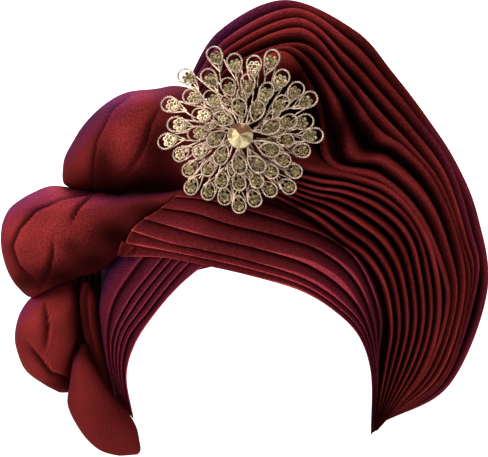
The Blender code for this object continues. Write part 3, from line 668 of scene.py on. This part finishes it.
TUCK_FOLD = (
    (-62, -110, -106, 18, 14), (-74, -112.4, -100.6, 20, 4), (-92, -111.4, -99.6, 17, -2),
    (-110, -107.4, -96.6, 9, -6), (-128, -100.4, -92.6, 1, -8), (-137, -95, -92, -2, -6),
)
ROLL_FULLNESS = 0.85
# The rolls lean like the slats of a blind, front down, so that no light shows between them. The lean
# fades out towards the brooch.
ROLL_LEAN = 2.6
ROLL_LEAN_MIDDLE, ROLL_LEAN_REACH = 12, 20
ROLL_LEAN_FADE = (-92, -66)

# %% Creases
# A crease's height and reach are millimetres, and its line runs through pixels of the photograph.
Crease = namedtuple("Crease", "height reach line")
# The low side reaches only this share as far as the high one, and the step is whole this far from the line.
LOW_REACH_SHARE, STEP_START = 0.35, 0.5
# Towards its ends a crease fades no further than at these shares of its line.
LINE_ENDS = (0.02, 0.98)
# The shadow lies on the low side and the light edge on the high one. Widths are in millimetres.
SHADOW_DEPTH, SHADOW_WIDTH, NARROW_SHADOW = 0.8, 3.4, 0.5
EDGE_LIGHT, EDGE_OFF, EDGE_WIDTH = 0.18, 1.2, 1.0
SHADE_LIMITS = (0.1, 1.25)


def near_line(line, spots):
    """For each spot, its distance from the line, which side it is on and how far along it lies."""
    line = np.array([seen(*pixel) for pixel in line])
    lengths = np.linalg.norm(np.diff(line, axis=0), axis=1)
    best = np.full(len(spots), np.inf)
    side = np.zeros(len(spots))
    share = np.zeros(len(spots))
    start = 0.0
    for head, tail, length in zip(line, line[1:], lengths):
        way = (tail - head) / length
        offset = spots - head
        along = np.clip(offset @ way, 0, length)
        gap = offset - along[:, None] * way
        distance = np.linalg.norm(gap, axis=1)
        closer = distance < best
        best = np.where(closer, distance, best)
        side = np.where(closer, np.sign(way[0] * offset[:, 1] - way[1] * offset[:, 0]), side)
        share = np.where(closer, (start + along) / lengths.sum(), share)
        start += length
    return best, side, share


def creased(spots, creases):
    """How far the creases push each spot out, and the painted shade and painted highlight they give it."""
    push = np.zeros(len(spots))
    shade = np.ones(len(spots))
    for crease in creases:
        distance, side, share = near_line(crease.line, spots)
        fade = np.sqrt(np.clip(np.sin(np.pi * np.clip(share, *LINE_ENDS)), 0, 1))
        high = np.exp(-distance / crease.reach)
        low = np.exp(-distance / (LOW_REACH_SHARE * crease.reach))
        step = np.where(side > 0, high, -low) * np.minimum(distance / STEP_START, 1)
        push += step * crease.height * fade
        shadow = np.exp(-((distance / np.where(side > 0, NARROW_SHADOW, SHADOW_WIDTH)) ** 2))
        edge = np.where(side > 0, np.exp(-(((distance - EDGE_OFF) / EDGE_WIDTH) ** 2)), 0)
        shade += (EDGE_LIGHT * edge - SHADOW_DEPTH * shadow) * fade * min(1, abs(crease.height))
    return push, np.clip(shade, *SHADE_LIMITS)


# %% Shaping a roll
# How much painted light a roll's plain cloth gets.
ROLL_PAINTED_LIGHT = 0.8
# At a roll's side a crease has this share of its depth, and it gains a whole depth in this many millimetres.
SIDE_SHARE, FRONT_REACH = 0.3, 8
# The ball's map runs once round it and once from pole to pole. These are metres of cloth.
BALL_MAP = (0.26, 0.13)
# The points at both poles have no side to be moved to.
POLE = 0.001


def face_outwards():
    """Turns the active piece's faces outwards."""
    bpy.ops.object.mode_set(mode="EDIT")
    bpy.ops.mesh.select_all(action="SELECT")
    bpy.ops.mesh.normals_make_consistent(inside=False)
    bpy.ops.object.mode_set(mode="OBJECT")


def fuller(wave):
    """A sine or cosine pushed out at its corners, so that a section is fuller than an ellipse."""
    return np.sign(wave) * np.abs(wave) ** ROLL_FULLNESS


def leaning(across, forward):
    """How far the rolls' lean lowers a place."""
    full, none = ROLL_LEAN_FADE
    share = risen((none - across) / (none - full))
    return ROLL_LEAN * share * np.tanh((forward - ROLL_LEAN_MIDDLE) / ROLL_LEAN_REACH)


def rolled(table):
    """A ball drawn out along its axis so that each ring fits the tabled section there."""
    piece = start_from(bpy.ops.mesh.primitive_uv_sphere_add, segments=table.segments, ring_count=table.rings,
                       radius=1)
    piece.name = piece.data.name = table.name
    mesh = piece.data
    ball = points_of(mesh)
    share = np.arccos(np.clip(ball[:, 2], -1, 1)) / math.pi
    around = np.arctan2(ball[:, 1], ball[:, 0])
    stations = np.arange(len(table.sections))
    along, low, high, front, back = eased(stations, table.sections, share * stations[-1]).T
    inside = np.minimum(share, 1 - share) > POLE
    side = (low + high) / 2 + (high - low) / 2 * fuller(np.cos(around)) * inside
    forward = (front + back) / 2 + (front - back) / 2 * fuller(np.sin(around)) * inside
    spots = np.stack([side, along] if table.upright else [along, side], axis=1)
    spots[:, 1] -= leaning(spots[:, 0], forward)
    move_points(mesh, place(np.column_stack([spots, forward])))
    face_outwards()
    facing_front = np.clip((forward - (front + back) / 2) / FRONT_REACH + SIDE_SHARE, 0, 1)
    push, shade = creased(spots, table.creases)
    normals = np.array([vertex.normal for vertex in mesh.vertices])
    pushed = points_of(mesh) + normals * (push * facing_front * MM)[:, None]
    mesh.vertices.foreach_set("co", pushed.ravel())
    # Painted light: the creases shade the roll's front, and the spots add painted shadows and highlights.
    crest = ROLL_PAINTED_LIGHT * (1 - facing_front * (1 - shade)) * shadowed(spots, table.spots)
    give_values(mesh, "POINT", crest=crest, cool=cooled(normals))
    stretch_map(mesh)
    mesh.materials.append(roll_cloth)
    bpy.ops.object.shade_smooth()
    print(f"{table.name}: {len(mesh.polygons)} faces, {len(table.creases)} creases")
    return piece


def stretch_map(mesh):
    """Scales the ball's UV map to metres, so that the weave is as fine as on the other cloth."""
    layer = mesh.uv_layers.active.data
    uv = np.empty(len(layer) * 2)
    layer.foreach_get("uv", uv)
    uv = uv.reshape(-1, 2) * BALL_MAP
    layer.foreach_set("uv", uv.ravel())


# %% Creases and spots of the rolls
# The spots are painted shadows where the rolls press together, and those with a depth below nought are
# painted highlights.
TOP_CREASES = (
    Crease(3.0, 9, ((126, 100), (113, 112), (107, 126), (99, 140), (95, 160), (94, 186))),
    Crease(2.6, 8, ((162, 106), (152, 124), (148, 141), (141, 155), (130, 172))),
)
TOP_SPOTS = (
    Spot(130, 188, 70, 20, 0.88), Spot(103, 166, 12, 26, 0.55), Spot(160, 152, 18, 34, 0.75),
    Spot(182, 120, 16, 40, 0.5), Spot(122, 138, 12, 16, -0.12), Spot(116, 98, 40, 10, -0.3),
)
SIDE_CREASES = (
    Crease(1.5, 8, ((100, 192), (60, 201), (36, 212), (20, 229), (13, 246), (19, 264), (40, 286))),
    Crease(1.3, 5, ((54, 240), (53, 256), (50, 270), (42, 287))),
    Crease(1.0, 6, ((94, 196), (80, 208), (71, 224))),
)
SIDE_SPOTS = (
    Spot(130, 190, 50, 7, 0.85), Spot(116, 236, 30, 20, 0.94), Spot(92, 262, 26, 16, 0.85),
    Spot(60, 276, 28, 14, 0.8), Spot(24, 282, 14, 12, 0.6), Spot(150, 212, 26, 12, 0.8),
    Spot(70, 246, 10, 9, 0.4), Spot(34, 228, 22, 16, -0.12), Spot(62, 197, 44, 11, -0.75),
    Spot(14, 226, 10, 20, -0.4),
)
LOW_CREASES = (
    Crease(0.9, 4, ((44, 298), (47, 318), (48, 332), (44, 350))),
    Crease(1.2, 4, ((28, 344), (38, 356), (50, 372), (70, 379))),
)
LOW_SPOTS = (
    Spot(81, 318, 9, 44, 0.92), Spot(66, 386, 24, 9, 0.6), Spot(52, 300, 20, 14, -0.75),
    Spot(26, 318, 12, 20, -0.15),
)
TAIL_CREASES = (Crease(-1.1, 4, ((86, 348), (98, 366), (112, 388), (128, 408))),)
TAIL_SPOTS = (
    Spot(84, 345, 16, 16, 0.6), Spot(104, 410, 80, 80, 0.25), Spot(122, 392, 12, 24, 0.3),
    Spot(84, 420, 12, 30, -0.1),
)
TUCK_CREASES = (Crease(0.8, 3, ((90, 284), (86, 300), (88, 325), (94, 350))),)
TUCK_SPOTS = (Spot(94, 330, 40, 70, 0.35), Spot(90, 278, 14, 14, 0.5))

# %% The four rolls and the tucked fold
Roll = namedtuple("Roll", "name solid sections upright creases spots segments rings")
ROLLS = (
    Roll("top_roll", "puff_top", PUFF_TOP, False, TOP_CREASES, TOP_SPOTS, 120, 110),
    Roll("side_roll", "puff_side", PUFF_SIDE, False, SIDE_CREASES, SIDE_SPOTS, 120, 110),
    Roll("low_roll", "puff_low", PUFF_LOW, True, LOW_CREASES, LOW_SPOTS, 120, 110),
    Roll("tail_roll", "puff_tail", PUFF_TAIL, True, TAIL_CREASES, TAIL_SPOTS, 120, 110),
    Roll("tuck_roll", "tuck_fold", TUCK_FOLD, True, TUCK_CREASES, TUCK_SPOTS, 64, 90),
)
for padded_roll in ROLLS:
    piece = rolled(padded_roll)
    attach(piece, "root")
    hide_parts(padded_roll.solid)

# %% [markdown]
# The cap under the folds hardly shows, except from below and from behind. It is made as the solid is,
# from the upper part of a ball stretched to a head, with a smoother wall.

# %% The cap
HEAD_HALF_BREADTH, HEAD_HALF_LENGTH, CAP_HALF_HEIGHT = 80, 98, 88
CAP_FULLNESS = 0.7
# The rim's height from the crown in front and behind, and how much lower it hangs at the sides.
BROW_RIM, NAPE_RIM, EAR_DROP = -38, -66, -8
# The higher a focus, the more narrowly that form is gathered at the brow. The reach is a share.
BROW_RIM_FOCUS, BROW_REACH, BROW_REACH_FOCUS = 3, 0.085, 4
CAP_WALL, CAP_CREST, CAP_VIOLET = 2, 0.7, 0.3

cap = start_from(bpy.ops.mesh.primitive_uv_sphere_add, segments=144, ring_count=72, radius=1)
cap.name = cap.data.name = "fitted_cap"
bpy.ops.object.mode_set(mode="EDIT")
bpy.ops.mesh.select_all(action="SELECT")
bpy.ops.mesh.bisect(plane_co=(0, 0, 0), plane_no=(0, 0, 1), clear_inner=True)
bpy.ops.object.mode_set(mode="OBJECT")
ball = points_of(cap.data)
around = np.arctan2(ball[:, 1], ball[:, 0])
frontal = (1 - np.sin(around)) / 2
rim = NAPE_RIM + (BROW_RIM - NAPE_RIM) * frontal**BROW_RIM_FOCUS + EAR_DROP * 4 * frontal * (1 - frontal)
rim_angle = np.arccos(1 + rim / CAP_HALF_HEIGHT)
drop = np.arccos(np.clip(ball[:, 2], -1, 1)) / (math.pi / 2) * rim_angle
spread = np.sin(drop) ** CAP_FULLNESS
reach = 1 + BROW_REACH * frontal**BROW_REACH_FOCUS * (drop / rim_angle) ** 2
cap_places = np.stack([HEAD_HALF_BREADTH * spread * np.cos(around),
                       HEAD_HALF_LENGTH * spread * reach * np.sin(around),
                       CAP_HALF_HEIGHT * (np.cos(drop) - 1)], axis=1) * MM
move_points(cap.data, cap_places)
face_outwards()
thicken(cap, CAP_WALL, offset=1)
size = len(cap.data.vertices)
give_values(cap.data, "POINT", crest=np.full(size, CAP_CREST), cool=np.full(size, CAP_VIOLET))
stretch_map(cap.data)
cap.data.materials.append(band_cloth)
bpy.ops.object.shade_smooth()
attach(cap, "root")
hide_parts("cap")
print(f"fitted_cap: {len(cap.data.polygons)} faces")

# %% [markdown]
# The brooch is pale champagne gilt. Three layers of open teardrop petals and a ring of small curls stand
# on stems round one large stone. Each petal is a loop of beaded wire with a cluster of small stones.
# The brooch is made flat, facing up, and one matrix then seats it on the cloth. Soft noise in the gilt
# and a painted glint of its own for each facet keep both from looking moulded.

# %% Gilt and crystal
GILT_GRAIN, GILT_TONES = (260, 260, 260), ((0.35, 0.5), (0.65, 1.15))
SMOOTHEST, ROUGHEST = 0.7, 1.3
CRYSTAL_UNIFORM = {"Metallic": 0.4, "Roughness": 0.33, "Coat Weight": 0.15, "Coat Roughness": 0.03}


def gilt_material(name, colour, roughness):
    made, tree, shader = new_material(name, {"Metallic": 1.0})
    where = node(tree, "ShaderNodeTexCoord")
    tone = noise(tree, where.outputs["Object"], GILT_GRAIN, 4.0)
    tree.links.new(tinted(tree, colour, ramp(tree, tone, GILT_TONES)), shader.inputs["Base Color"])
    rough = node(tree, "ShaderNodeMapRange", {"Value": tone, "To Min": SMOOTHEST * roughness,
                                              "To Max": ROUGHEST * roughness})
    tree.links.new(rough.outputs["Result"], shader.inputs["Roughness"])
    return made


def crystal_material(name, dark, bright):
    """Foiled crystal: each facet has its own painted glint, from the dark colour to the bright one."""
    made, tree, shader = new_material(name, CRYSTAL_UNIFORM)
    glint = node(tree, "ShaderNodeAttribute", attribute_name="glint").outputs["Fac"]
    tree.links.new(tinted(tree, dark, bright, glint, "MIX"), shader.inputs["Base Color"])
    return made


gilt = gilt_material("champagne gilt", (0.83, 0.635, 0.47, 1), 0.27)
crystal = crystal_material("champagne crystal", (0.06, 0.032, 0.005, 1), (1.0, 0.82, 0.36, 1))
stone_glass = crystal_material("centre crystal", (0.24, 0.10, 0.04, 1), (1.0, 0.86, 0.48, 1))
print("brooch materials:", gilt.name, crystal.name, stone_glass.name)

# %% Where the brooch sits
BROOCH_CENTRE = (-5, 33, 88.6)
BROOCH_TURN = math.radians(-6)
BROOCH_LEAN = math.radians(15)
HUB_FRONT = 12.4
# The round stone and its hub stand a little off the middle, as in the photograph.
STONE_SHIFT = Matrix.Translation((0.6 * MM, -1.8 * MM, 0))
# The pixel of the photograph where the middle of each petal or curl lies, going round the brooch.
OUTER_PETALS = ((215, 56), (235, 64), (254, 66), (271, 60), (281, 80), (295, 92), (307, 101), (303, 123),
                (312, 136), (301, 151), (293, 171), (287, 186), (269, 189), (254, 198), (239, 204),
                (225, 196), (209, 191), (192, 186), (191, 169), (182, 154), (168, 141), (178, 125),
                (171, 105), (193, 98), (187, 77), (210, 79))
MIDDLE_PETALS = ((229, 88), (248, 85), (266, 93), (280, 105), (287, 123), (285, 141), (282, 160), (270, 171),
                 (256, 180), (239, 182), (222, 180), (209, 168), (201, 151), (198, 134), (202, 116),
                 (213, 100))
INNER_PETALS = ((240, 109), (257, 112), (270, 128), (269, 150), (256, 164), (239, 164), (222, 155),
                (217, 139), (224, 120))
CURLS = ((242, 96), (227, 102), (262, 101), (276, 114), (279, 133), (276, 151), (263, 167), (247, 173),
         (231, 171), (215, 161), (208, 144), (211, 127), (218, 111))
# A layer's reach, lift and sag are millimetres and its swirl is degrees.
Layer = namedtuple("Layer", "name petals scale reach lift sag swirl")
BROOCH_LAYERS = (
    Layer("outer_petals", OUTER_PETALS, 1.04, 43, 3.0, 5.0, 11),
    Layer("middle_petals", MIDDLE_PETALS, 1.0, 31, 6.8, 2.5, 12),
    Layer("curls", CURLS, 0.8, 24, 8.4, 2.0, 30),
    Layer("inner_petals", INNER_PETALS, 1.06, 18, 10.6, 1.5, 20),
)
PETAL_LENGTH = 15
facing = Euler((math.pi / 2 - BROOCH_LEAN, 0, BROOCH_TURN))
seat = Matrix.Translation(Vector(place(BROOCH_CENTRE))) @ facing.to_matrix().to_4x4()
# How unevenly a hand sets the petals: their slope and swing in degrees and their lift in millimetres.
HAND_SLOPE, HAND_SWING, HAND_LIFT = (-6, 6), (-4, 4), (-0.4, 0.5)
chance = random.Random(11)


def bowed(layer, outward):
    """How far in front of the seat a layer's middle plane lies at this distance from the hub."""
    return layer.lift - layer.sag * (outward / layer.reach) ** 2


def petal_place(layer, index):
    """The way a petal points, clockwise from up, and how far out its middle lies in the flat brooch.

    The seat shows the flat brooch a little turned and foreshortened, and two equations undo that."""
    corners = [as_seen(np.array(seat @ Vector((x * MM, y * MM, bowed(layer, layer.reach) * MM))))
               for x, y in ((0, 0), (1, 0), (0, 1))]
    turned = np.column_stack([corners[1] - corners[0], corners[2] - corners[0]])
    x, y = np.linalg.solve(turned, np.array(seen(*layer.petals[index])) - corners[0])
    return math.atan2(x, y), math.hypot(x, y)


def petal_matrix(layer, index):
    """Turns a petal that was made pointing along +Y at the origin into its place in the flat brooch.

    All petals swirl a little round the stone, and no two are set quite alike by hand."""
    way, reach = petal_place(layer, index)
    slope = math.atan(-2 * layer.sag * reach / layer.reach**2) + math.radians(chance.uniform(*HAND_SLOPE))
    swing = math.radians(layer.swirl + chance.uniform(*HAND_SWING))
    lift = bowed(layer, reach) + chance.uniform(*HAND_LIFT)
    return (Matrix.Rotation(-way, 4, "Z") @ Matrix.Translation((0, reach * MM, lift * MM))
            @ Matrix.Rotation(slope, 4, "X") @ Matrix.Rotation(swing, 4, "Z") @ Matrix.Scale(layer.scale, 4))


# %% [markdown]
# On the real brooch every petal is bent from wire with a beaded edge. A curve with a bevel would give
# plain wire. A torus gives both: its ring is pushed into a teardrop, and it swells once for each bead.

# %% One petal's beaded rim
BEADS = 26
STEPS_PER_BEAD = 3
RIM_RADIUS = 0.74
# As shares of that radius: the wire's mean, and what it gains in a bead and loses between two beads.
BEAD_MEAN, BEAD_SWELL = 0.9, 0.4
# The loop stays narrow at its foot, and the factor brings its widest place to the full width.
NARROW_FOOT, FULL_WIDTH = 0.5, 1.14
A_LITTLE = 0.01


def teardrop(turn, length, width):
    """A point of the loop: turn 0 is where it meets the stem and half a turn on is its tip."""
    aside = np.sin(turn) * np.abs(np.sin(turn / 2)) ** NARROW_FOOT * width / 2 * FULL_WIDTH
    return np.stack([aside, -np.cos(turn) * length / 2], axis=-1)


def petal_rim(length, width):
    rim = start_from(bpy.ops.mesh.primitive_torus_add, major_segments=STEPS_PER_BEAD * BEADS,
                     minor_segments=6, major_radius=1, minor_radius=0.5)
    ring = points_of(rim.data)
    turn = np.mod(np.arctan2(ring[:, 1], ring[:, 0]), 2 * math.pi)
    out = np.hypot(ring[:, 0], ring[:, 1]) - 1
    middle = teardrop(turn, length - 2 * RIM_RADIUS, width - 2 * RIM_RADIUS)
    ahead = teardrop(turn + A_LITTLE, length, width) - teardrop(turn - A_LITTLE, length, width)
    normal = np.stack([ahead[:, 1], -ahead[:, 0]], axis=1)
    normal /= np.linalg.norm(normal, axis=1, keepdims=True)
    bead = RIM_RADIUS * (BEAD_MEAN + BEAD_SWELL * np.cos(BEADS * turn)) * 2
    flat = middle + normal * (out * bead)[:, None]
    move_points(rim.data, np.column_stack([flat, ring[:, 2] * bead]) * MM)
    face_outwards()
    rim.data.materials.append(gilt)
    bpy.ops.object.shade_smooth()
    return rim


# %% [markdown]
# Each small stone is a cut crystal in a little cup. At this size a cone with a flat top has all the
# facets that show, and a second cone that opens towards the stone is the cup.

# %% Small stones
def cone(sides, low_radius, high_radius, height, at, material):
    made = start_from(bpy.ops.mesh.primitive_cone_add, vertices=sides, radius1=low_radius * MM,
                      radius2=high_radius * MM, depth=height * MM, location=Vector(at) * MM)
    bpy.ops.object.transform_apply(location=True)
    made.data.materials.append(material)
    return made


def joined(name, pieces):
    bpy.ops.object.select_all(action="DESELECT")
    for piece in pieces:
        piece.select_set(True)
    bpy.context.view_layer.objects.active = pieces[0]
    bpy.ops.object.join()
    made = bpy.context.object
    made.name = made.data.name = name
    return made


# The stones of a petal: across it, along it from its middle, and radius. The upper petals hold a
# cluster near the stem, the lower ones a round one in their middle, curls a bud, and inner ones are full.
CLUSTER = ((0, -4.7, 1.0), (-1.3, -2.9, 1.25), (1.3, -2.9, 1.25), (0, -0.8, 1.5), (-2.6, -0.7, 1.3),
           (2.6, -0.7, 1.3), (-1.5, 1.4, 1.2), (1.5, 1.4, 1.2))
ROUND = ((0, 1.0, 1.5), (0, 3.2, 1.1), (1.95, 2.1, 1.1), (1.95, -0.1, 1.1), (0, -1.2, 1.1),
         (-1.95, -0.1, 1.1), (-1.95, 2.1, 1.1), (0, -3.8, 1.0))
BUD = ((0, -2.6, 1.0), (0, -0.4, 1.3), (0, 1.8, 1.1))
LEAF = ((0, -4.6, 0.9), (0, -2.5, 1.25), (-2.0, -0.8, 1.2), (2.0, -0.8, 1.2), (0, 0.5, 1.2),
        (-2.2, 1.7, 1.15), (2.2, 1.7, 1.15), (0, 2.9, 1.2), (0, 4.6, 0.8))

# A stone's table and height and its cup's foot and rim are shares of the stone's radius.
SMALL_FACETS = 8
TABLE_SHARE, HEIGHT_SHARE, STONE_BASE = 0.5, 0.7, 0.6
CUP_FOOT, CUP_RIM, CUP_HEIGHT, CUP_MIDDLE = 0.9, 1.14, 1.1, 0.2


def petal_stones(cluster):
    return [cone(SMALL_FACETS, radius, TABLE_SHARE * radius, HEIGHT_SHARE * radius,
                 (x, y, STONE_BASE + HEIGHT_SHARE * radius / 2), crystal) for x, y, radius in cluster]


def petal_cups(cluster):
    return [cone(SMALL_FACETS, CUP_FOOT * radius, CUP_RIM * radius, CUP_HEIGHT, (x, y, CUP_MIDDLE), gilt)
            for x, y, radius in cluster]


# %% [markdown]
# Bent wires fill the gaps between the petals and hold them to the hub. They are as thick at one end as
# at the other, so a curve with a round bevel is the simplest way. It is made into a mesh at the end.

# %% Wires between the petals
def wires(name, paths, radius):
    """Round wires along the given lines of points, in millimetres of the flat brooch."""
    data = bpy.data.curves.new(name, "CURVE")
    data.dimensions = "3D"
    data.bevel_depth = radius * MM
    data.bevel_resolution = 1
    data.use_fill_caps = True
    for path in paths:
        spline = data.splines.new("NURBS")
        spline.points.add(len(path) - 1)
        for point, place_on_path in zip(spline.points, path):
            point.co = (*(coordinate * MM for coordinate in place_on_path), 1)
        spline.order_u = 3
        spline.use_endpoint_u = True
        spline.resolution_u = 3
    made = bpy.data.objects.new(name, data)
    bpy.context.scene.collection.objects.link(made)
    bpy.ops.object.select_all(action="DESELECT")
    made.select_set(True)
    bpy.context.view_layer.objects.active = made
    bpy.ops.object.convert(target="MESH")
    made = bpy.context.object
    made.data.materials.append(gilt)
    bpy.ops.object.shade_smooth()
    return made


# %% Where the wires run
# Points of the wires, outwards from the foot of their petal in millimetres. With each goes how far
# aside it lies: as a share of the stem's bend, in millimetres, or as a share of the way to the next petal.
STEM_START, STEM_NEAREST, STEM_BEND = -11.5, 5, 1.6
STEM = ((-6.5, 0.8), (-2.5, 0), (1, 0))
STRAND, STRAND_END = ((-4, 0.2), (-1, 1.3), (2.5, 3.4)), (6.5, 4.6)
VINE_START, VINE = 0.26, ((2, 0.42), (-4, 0.5), (-6, 0.62))
VINE_LAYERS = ("outer_petals", "middle_petals")
WIRE_SINK = 0.3


def stem_paths(layer):
    """For each petal a bent stem, two strands along its flanks, and a vine to the next petal."""
    step = 2 * math.pi / len(layer.petals)
    for index in range(len(layer.petals)):
        way, reach = petal_place(layer, index)
        foot = reach - layer.scale * PETAL_LENGTH / 2
        bend = STEM_BEND if index % 2 else -STEM_BEND

        def at(outward, aside, turn=0.0):
            return (outward * math.sin(way + turn) + aside * math.cos(way),
                    outward * math.cos(way + turn) - aside * math.sin(way),
                    bowed(layer, outward) - WIRE_SINK)

        stem = [at(foot + outward, share * bend) for outward, share in STEM]
        yield [at(max(foot + STEM_START, STEM_NEAREST), bend)] + stem
        for side in (-1, 1):
            strand = [at(foot + outward, aside * side) for outward, aside in STRAND]
            yield strand + [at(foot + STRAND_END[0], STRAND_END[1] * layer.scale * side)]
        if layer.name in VINE_LAYERS:
            vine = [at(foot + outward, 0, share * step) for outward, share in VINE]
            yield [at(reach, 0, VINE_START * step)] + vine


# %% [markdown]
# Every petal could be made anew, but making each kind once and copying it is much faster. The copies
# are set into the flat brooch, then all the metal becomes one piece and all the small stones another.

# %% Lay the petals out
# The stones, the length and the width of each kind of petal.
PETAL_KINDS = {"upper": (CLUSTER, PETAL_LENGTH, 11), "lower": (ROUND, 12.8, 10.2),
               "inner": (LEAF, 14.5, 10.4), "curl": (BUD, 13, 7)}
# A petal is an upper one where the cosine of its way from straight up is more than this.
UPPER_FROM = -0.1
STEM_RADIUS = 0.55
metal_pieces, stone_pieces, masters = [], [], {}
for kind, (cluster, length, width) in PETAL_KINDS.items():
    masters[kind] = (joined(kind + "_petal", [petal_rim(length, width)] + petal_cups(cluster)),
                     joined(kind + "_gems", petal_stones(cluster)))
for layer in BROOCH_LAYERS:
    for index in range(len(layer.petals)):
        way, _ = petal_place(layer, index)
        half = "upper" if math.cos(way) > UPPER_FROM else "lower"
        kind = {"inner_petals": "inner", "curls": "curl"}.get(layer.name, half)
        seated = petal_matrix(layer, index)
        for master, pile in zip(masters[kind], (metal_pieces, stone_pieces)):
            copy = master.copy()
            copy.data = master.data.copy()
            copy.data.transform(seated)
            bpy.context.scene.collection.objects.link(copy)
            pile.append(copy)
    metal_pieces.append(wires(layer.name + "_stems", stem_paths(layer), STEM_RADIUS))
for pair in masters.values():
    for master in pair:
        bpy.data.objects.remove(master)
print(f"{len(metal_pieces)} metal pieces and {len(stone_pieces)} clusters")

# %% Hub and collar
HUB_RADIUS, HUB_HEIGHT, HUB_MIDDLE = 7.6, 10.6, 7.0
COLLAR_RADIUS, COLLAR_WIRE, COLLAR_LIFT = 8.0, 0.6, 0.5
HUB_EDGE = math.radians(40)
GLINT_CONTRAST = 2.2

hub = start_from(bpy.ops.mesh.primitive_cylinder_add, vertices=32, radius=HUB_RADIUS * MM,
                 depth=HUB_HEIGHT * MM, location=(0, 0, HUB_MIDDLE * MM))
bpy.ops.object.transform_apply(location=True)
bpy.ops.object.shade_smooth_by_angle(angle=HUB_EDGE)
collar = start_from(bpy.ops.mesh.primitive_torus_add, major_segments=72, minor_segments=8,
                    major_radius=COLLAR_RADIUS * MM, minor_radius=COLLAR_WIRE * MM,
                    location=(0, 0, (HUB_FRONT + COLLAR_LIFT) * MM))
bpy.ops.object.transform_apply(location=True)
bpy.ops.object.shade_smooth()
for piece in (hub, collar):
    piece.data.materials.append(gilt)
    piece.data.transform(STONE_SHIFT)
    metal_pieces.append(piece)

brooch = joined("brooch_petals", metal_pieces)
gems = joined("petal_crystals", stone_pieces)
give_values(gems.data, "FACE", glint=[chance.random() ** GLINT_CONTRAST for _ in gems.data.polygons])
for piece in (brooch, gems):
    piece.data.transform(seat)
    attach(piece, "root")
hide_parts("brooch")
print(f"brooch {len(brooch.data.polygons)} faces, gems {len(gems.data.polygons)} faces")

# %% [markdown]
# The centre stone is a round fancy stone cut to a low point: a girdle, a ring of long facets and a ring
# of short ones that meet in the middle. It starts as a flat cylinder. Its front face is drawn out,
# made smaller and turned by half a facet, then drawn out again and merged into one point.

# %% The centre stone
STONE_RADIUS, STONE_FACETS = 8.2, 14
GIRDLE_HEIGHT, GIRDLE_GAP = 1.6, 0.3
RING_SHARE, LONG_FACETS_RISE, SHORT_FACETS_RISE = 0.62, 2.0, 1.3
# Painted glints: the facets' tones, how much lighter the foot is painted, and how much darker one side.
FACET_TONES, FOOT_GLOW, SIDE_GLOW = (0.1, 0.8, 0.35), 0.4, 0.1


def facet_glint(middle):
    """Painted glints: bright and dark facets take turns, and the ones at the foot are painted the brightest.
    """
    around = math.atan2(middle.x, -middle.y)
    sector = math.floor(around / (2 * math.pi) * STONE_FACETS + 0.5)
    tone = FACET_TONES[sector % len(FACET_TONES)]
    return min(1, max(0, tone + FOOT_GLOW * math.cos(around) - SIDE_GLOW * math.sin(around)))


girdle_middle = HUB_FRONT + GIRDLE_GAP + GIRDLE_HEIGHT / 2
stone = start_from(bpy.ops.mesh.primitive_cylinder_add, vertices=STONE_FACETS, radius=STONE_RADIUS * MM,
                   depth=GIRDLE_HEIGHT * MM, location=(0, 0, girdle_middle * MM))
bpy.ops.object.transform_apply(location=True)
bpy.ops.object.mode_set(mode="EDIT")
bpy.ops.mesh.select_all(action="DESELECT")
bpy.ops.object.mode_set(mode="OBJECT")
for face in stone.data.polygons:
    face.select = face.normal.z > 0.9
bpy.ops.object.mode_set(mode="EDIT")
bpy.ops.mesh.extrude_region_move(TRANSFORM_OT_translate={"value": (0, 0, LONG_FACETS_RISE * MM)})
bpy.ops.transform.resize(value=(RING_SHARE, RING_SHARE, 1))
bpy.ops.transform.rotate(value=math.pi / STONE_FACETS, orient_axis="Z", center_override=(0, 0, 0))
bpy.ops.mesh.extrude_region_move(TRANSFORM_OT_translate={"value": (0, 0, SHORT_FACETS_RISE * MM)})
bpy.ops.mesh.merge(type="CENTER")
bpy.ops.mesh.select_all(action="SELECT")
bpy.ops.mesh.quads_convert_to_tris()
bpy.ops.mesh.normals_make_consistent(inside=False)
bpy.ops.object.mode_set(mode="OBJECT")
stone.name = stone.data.name = "centre_crystal"
give_values(stone.data, "FACE", glint=[facet_glint(face.center) for face in stone.data.polygons])
stone.data.transform(seat @ STONE_SHIFT)
stone.data.materials.append(stone_glass)
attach(stone, "root")
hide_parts("centre_stone")
print(f"centre_crystal: {len(stone.data.polygons)} facets")

# %% [markdown]
# The pin behind the brooch can't be seen, so nothing finer is made of it. Its solid stays and is gilt.

# %% The hidden pin keeps its shape
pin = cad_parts["brooch_pin"]
pin.data.materials.clear()
pin.data.materials.append(gilt)
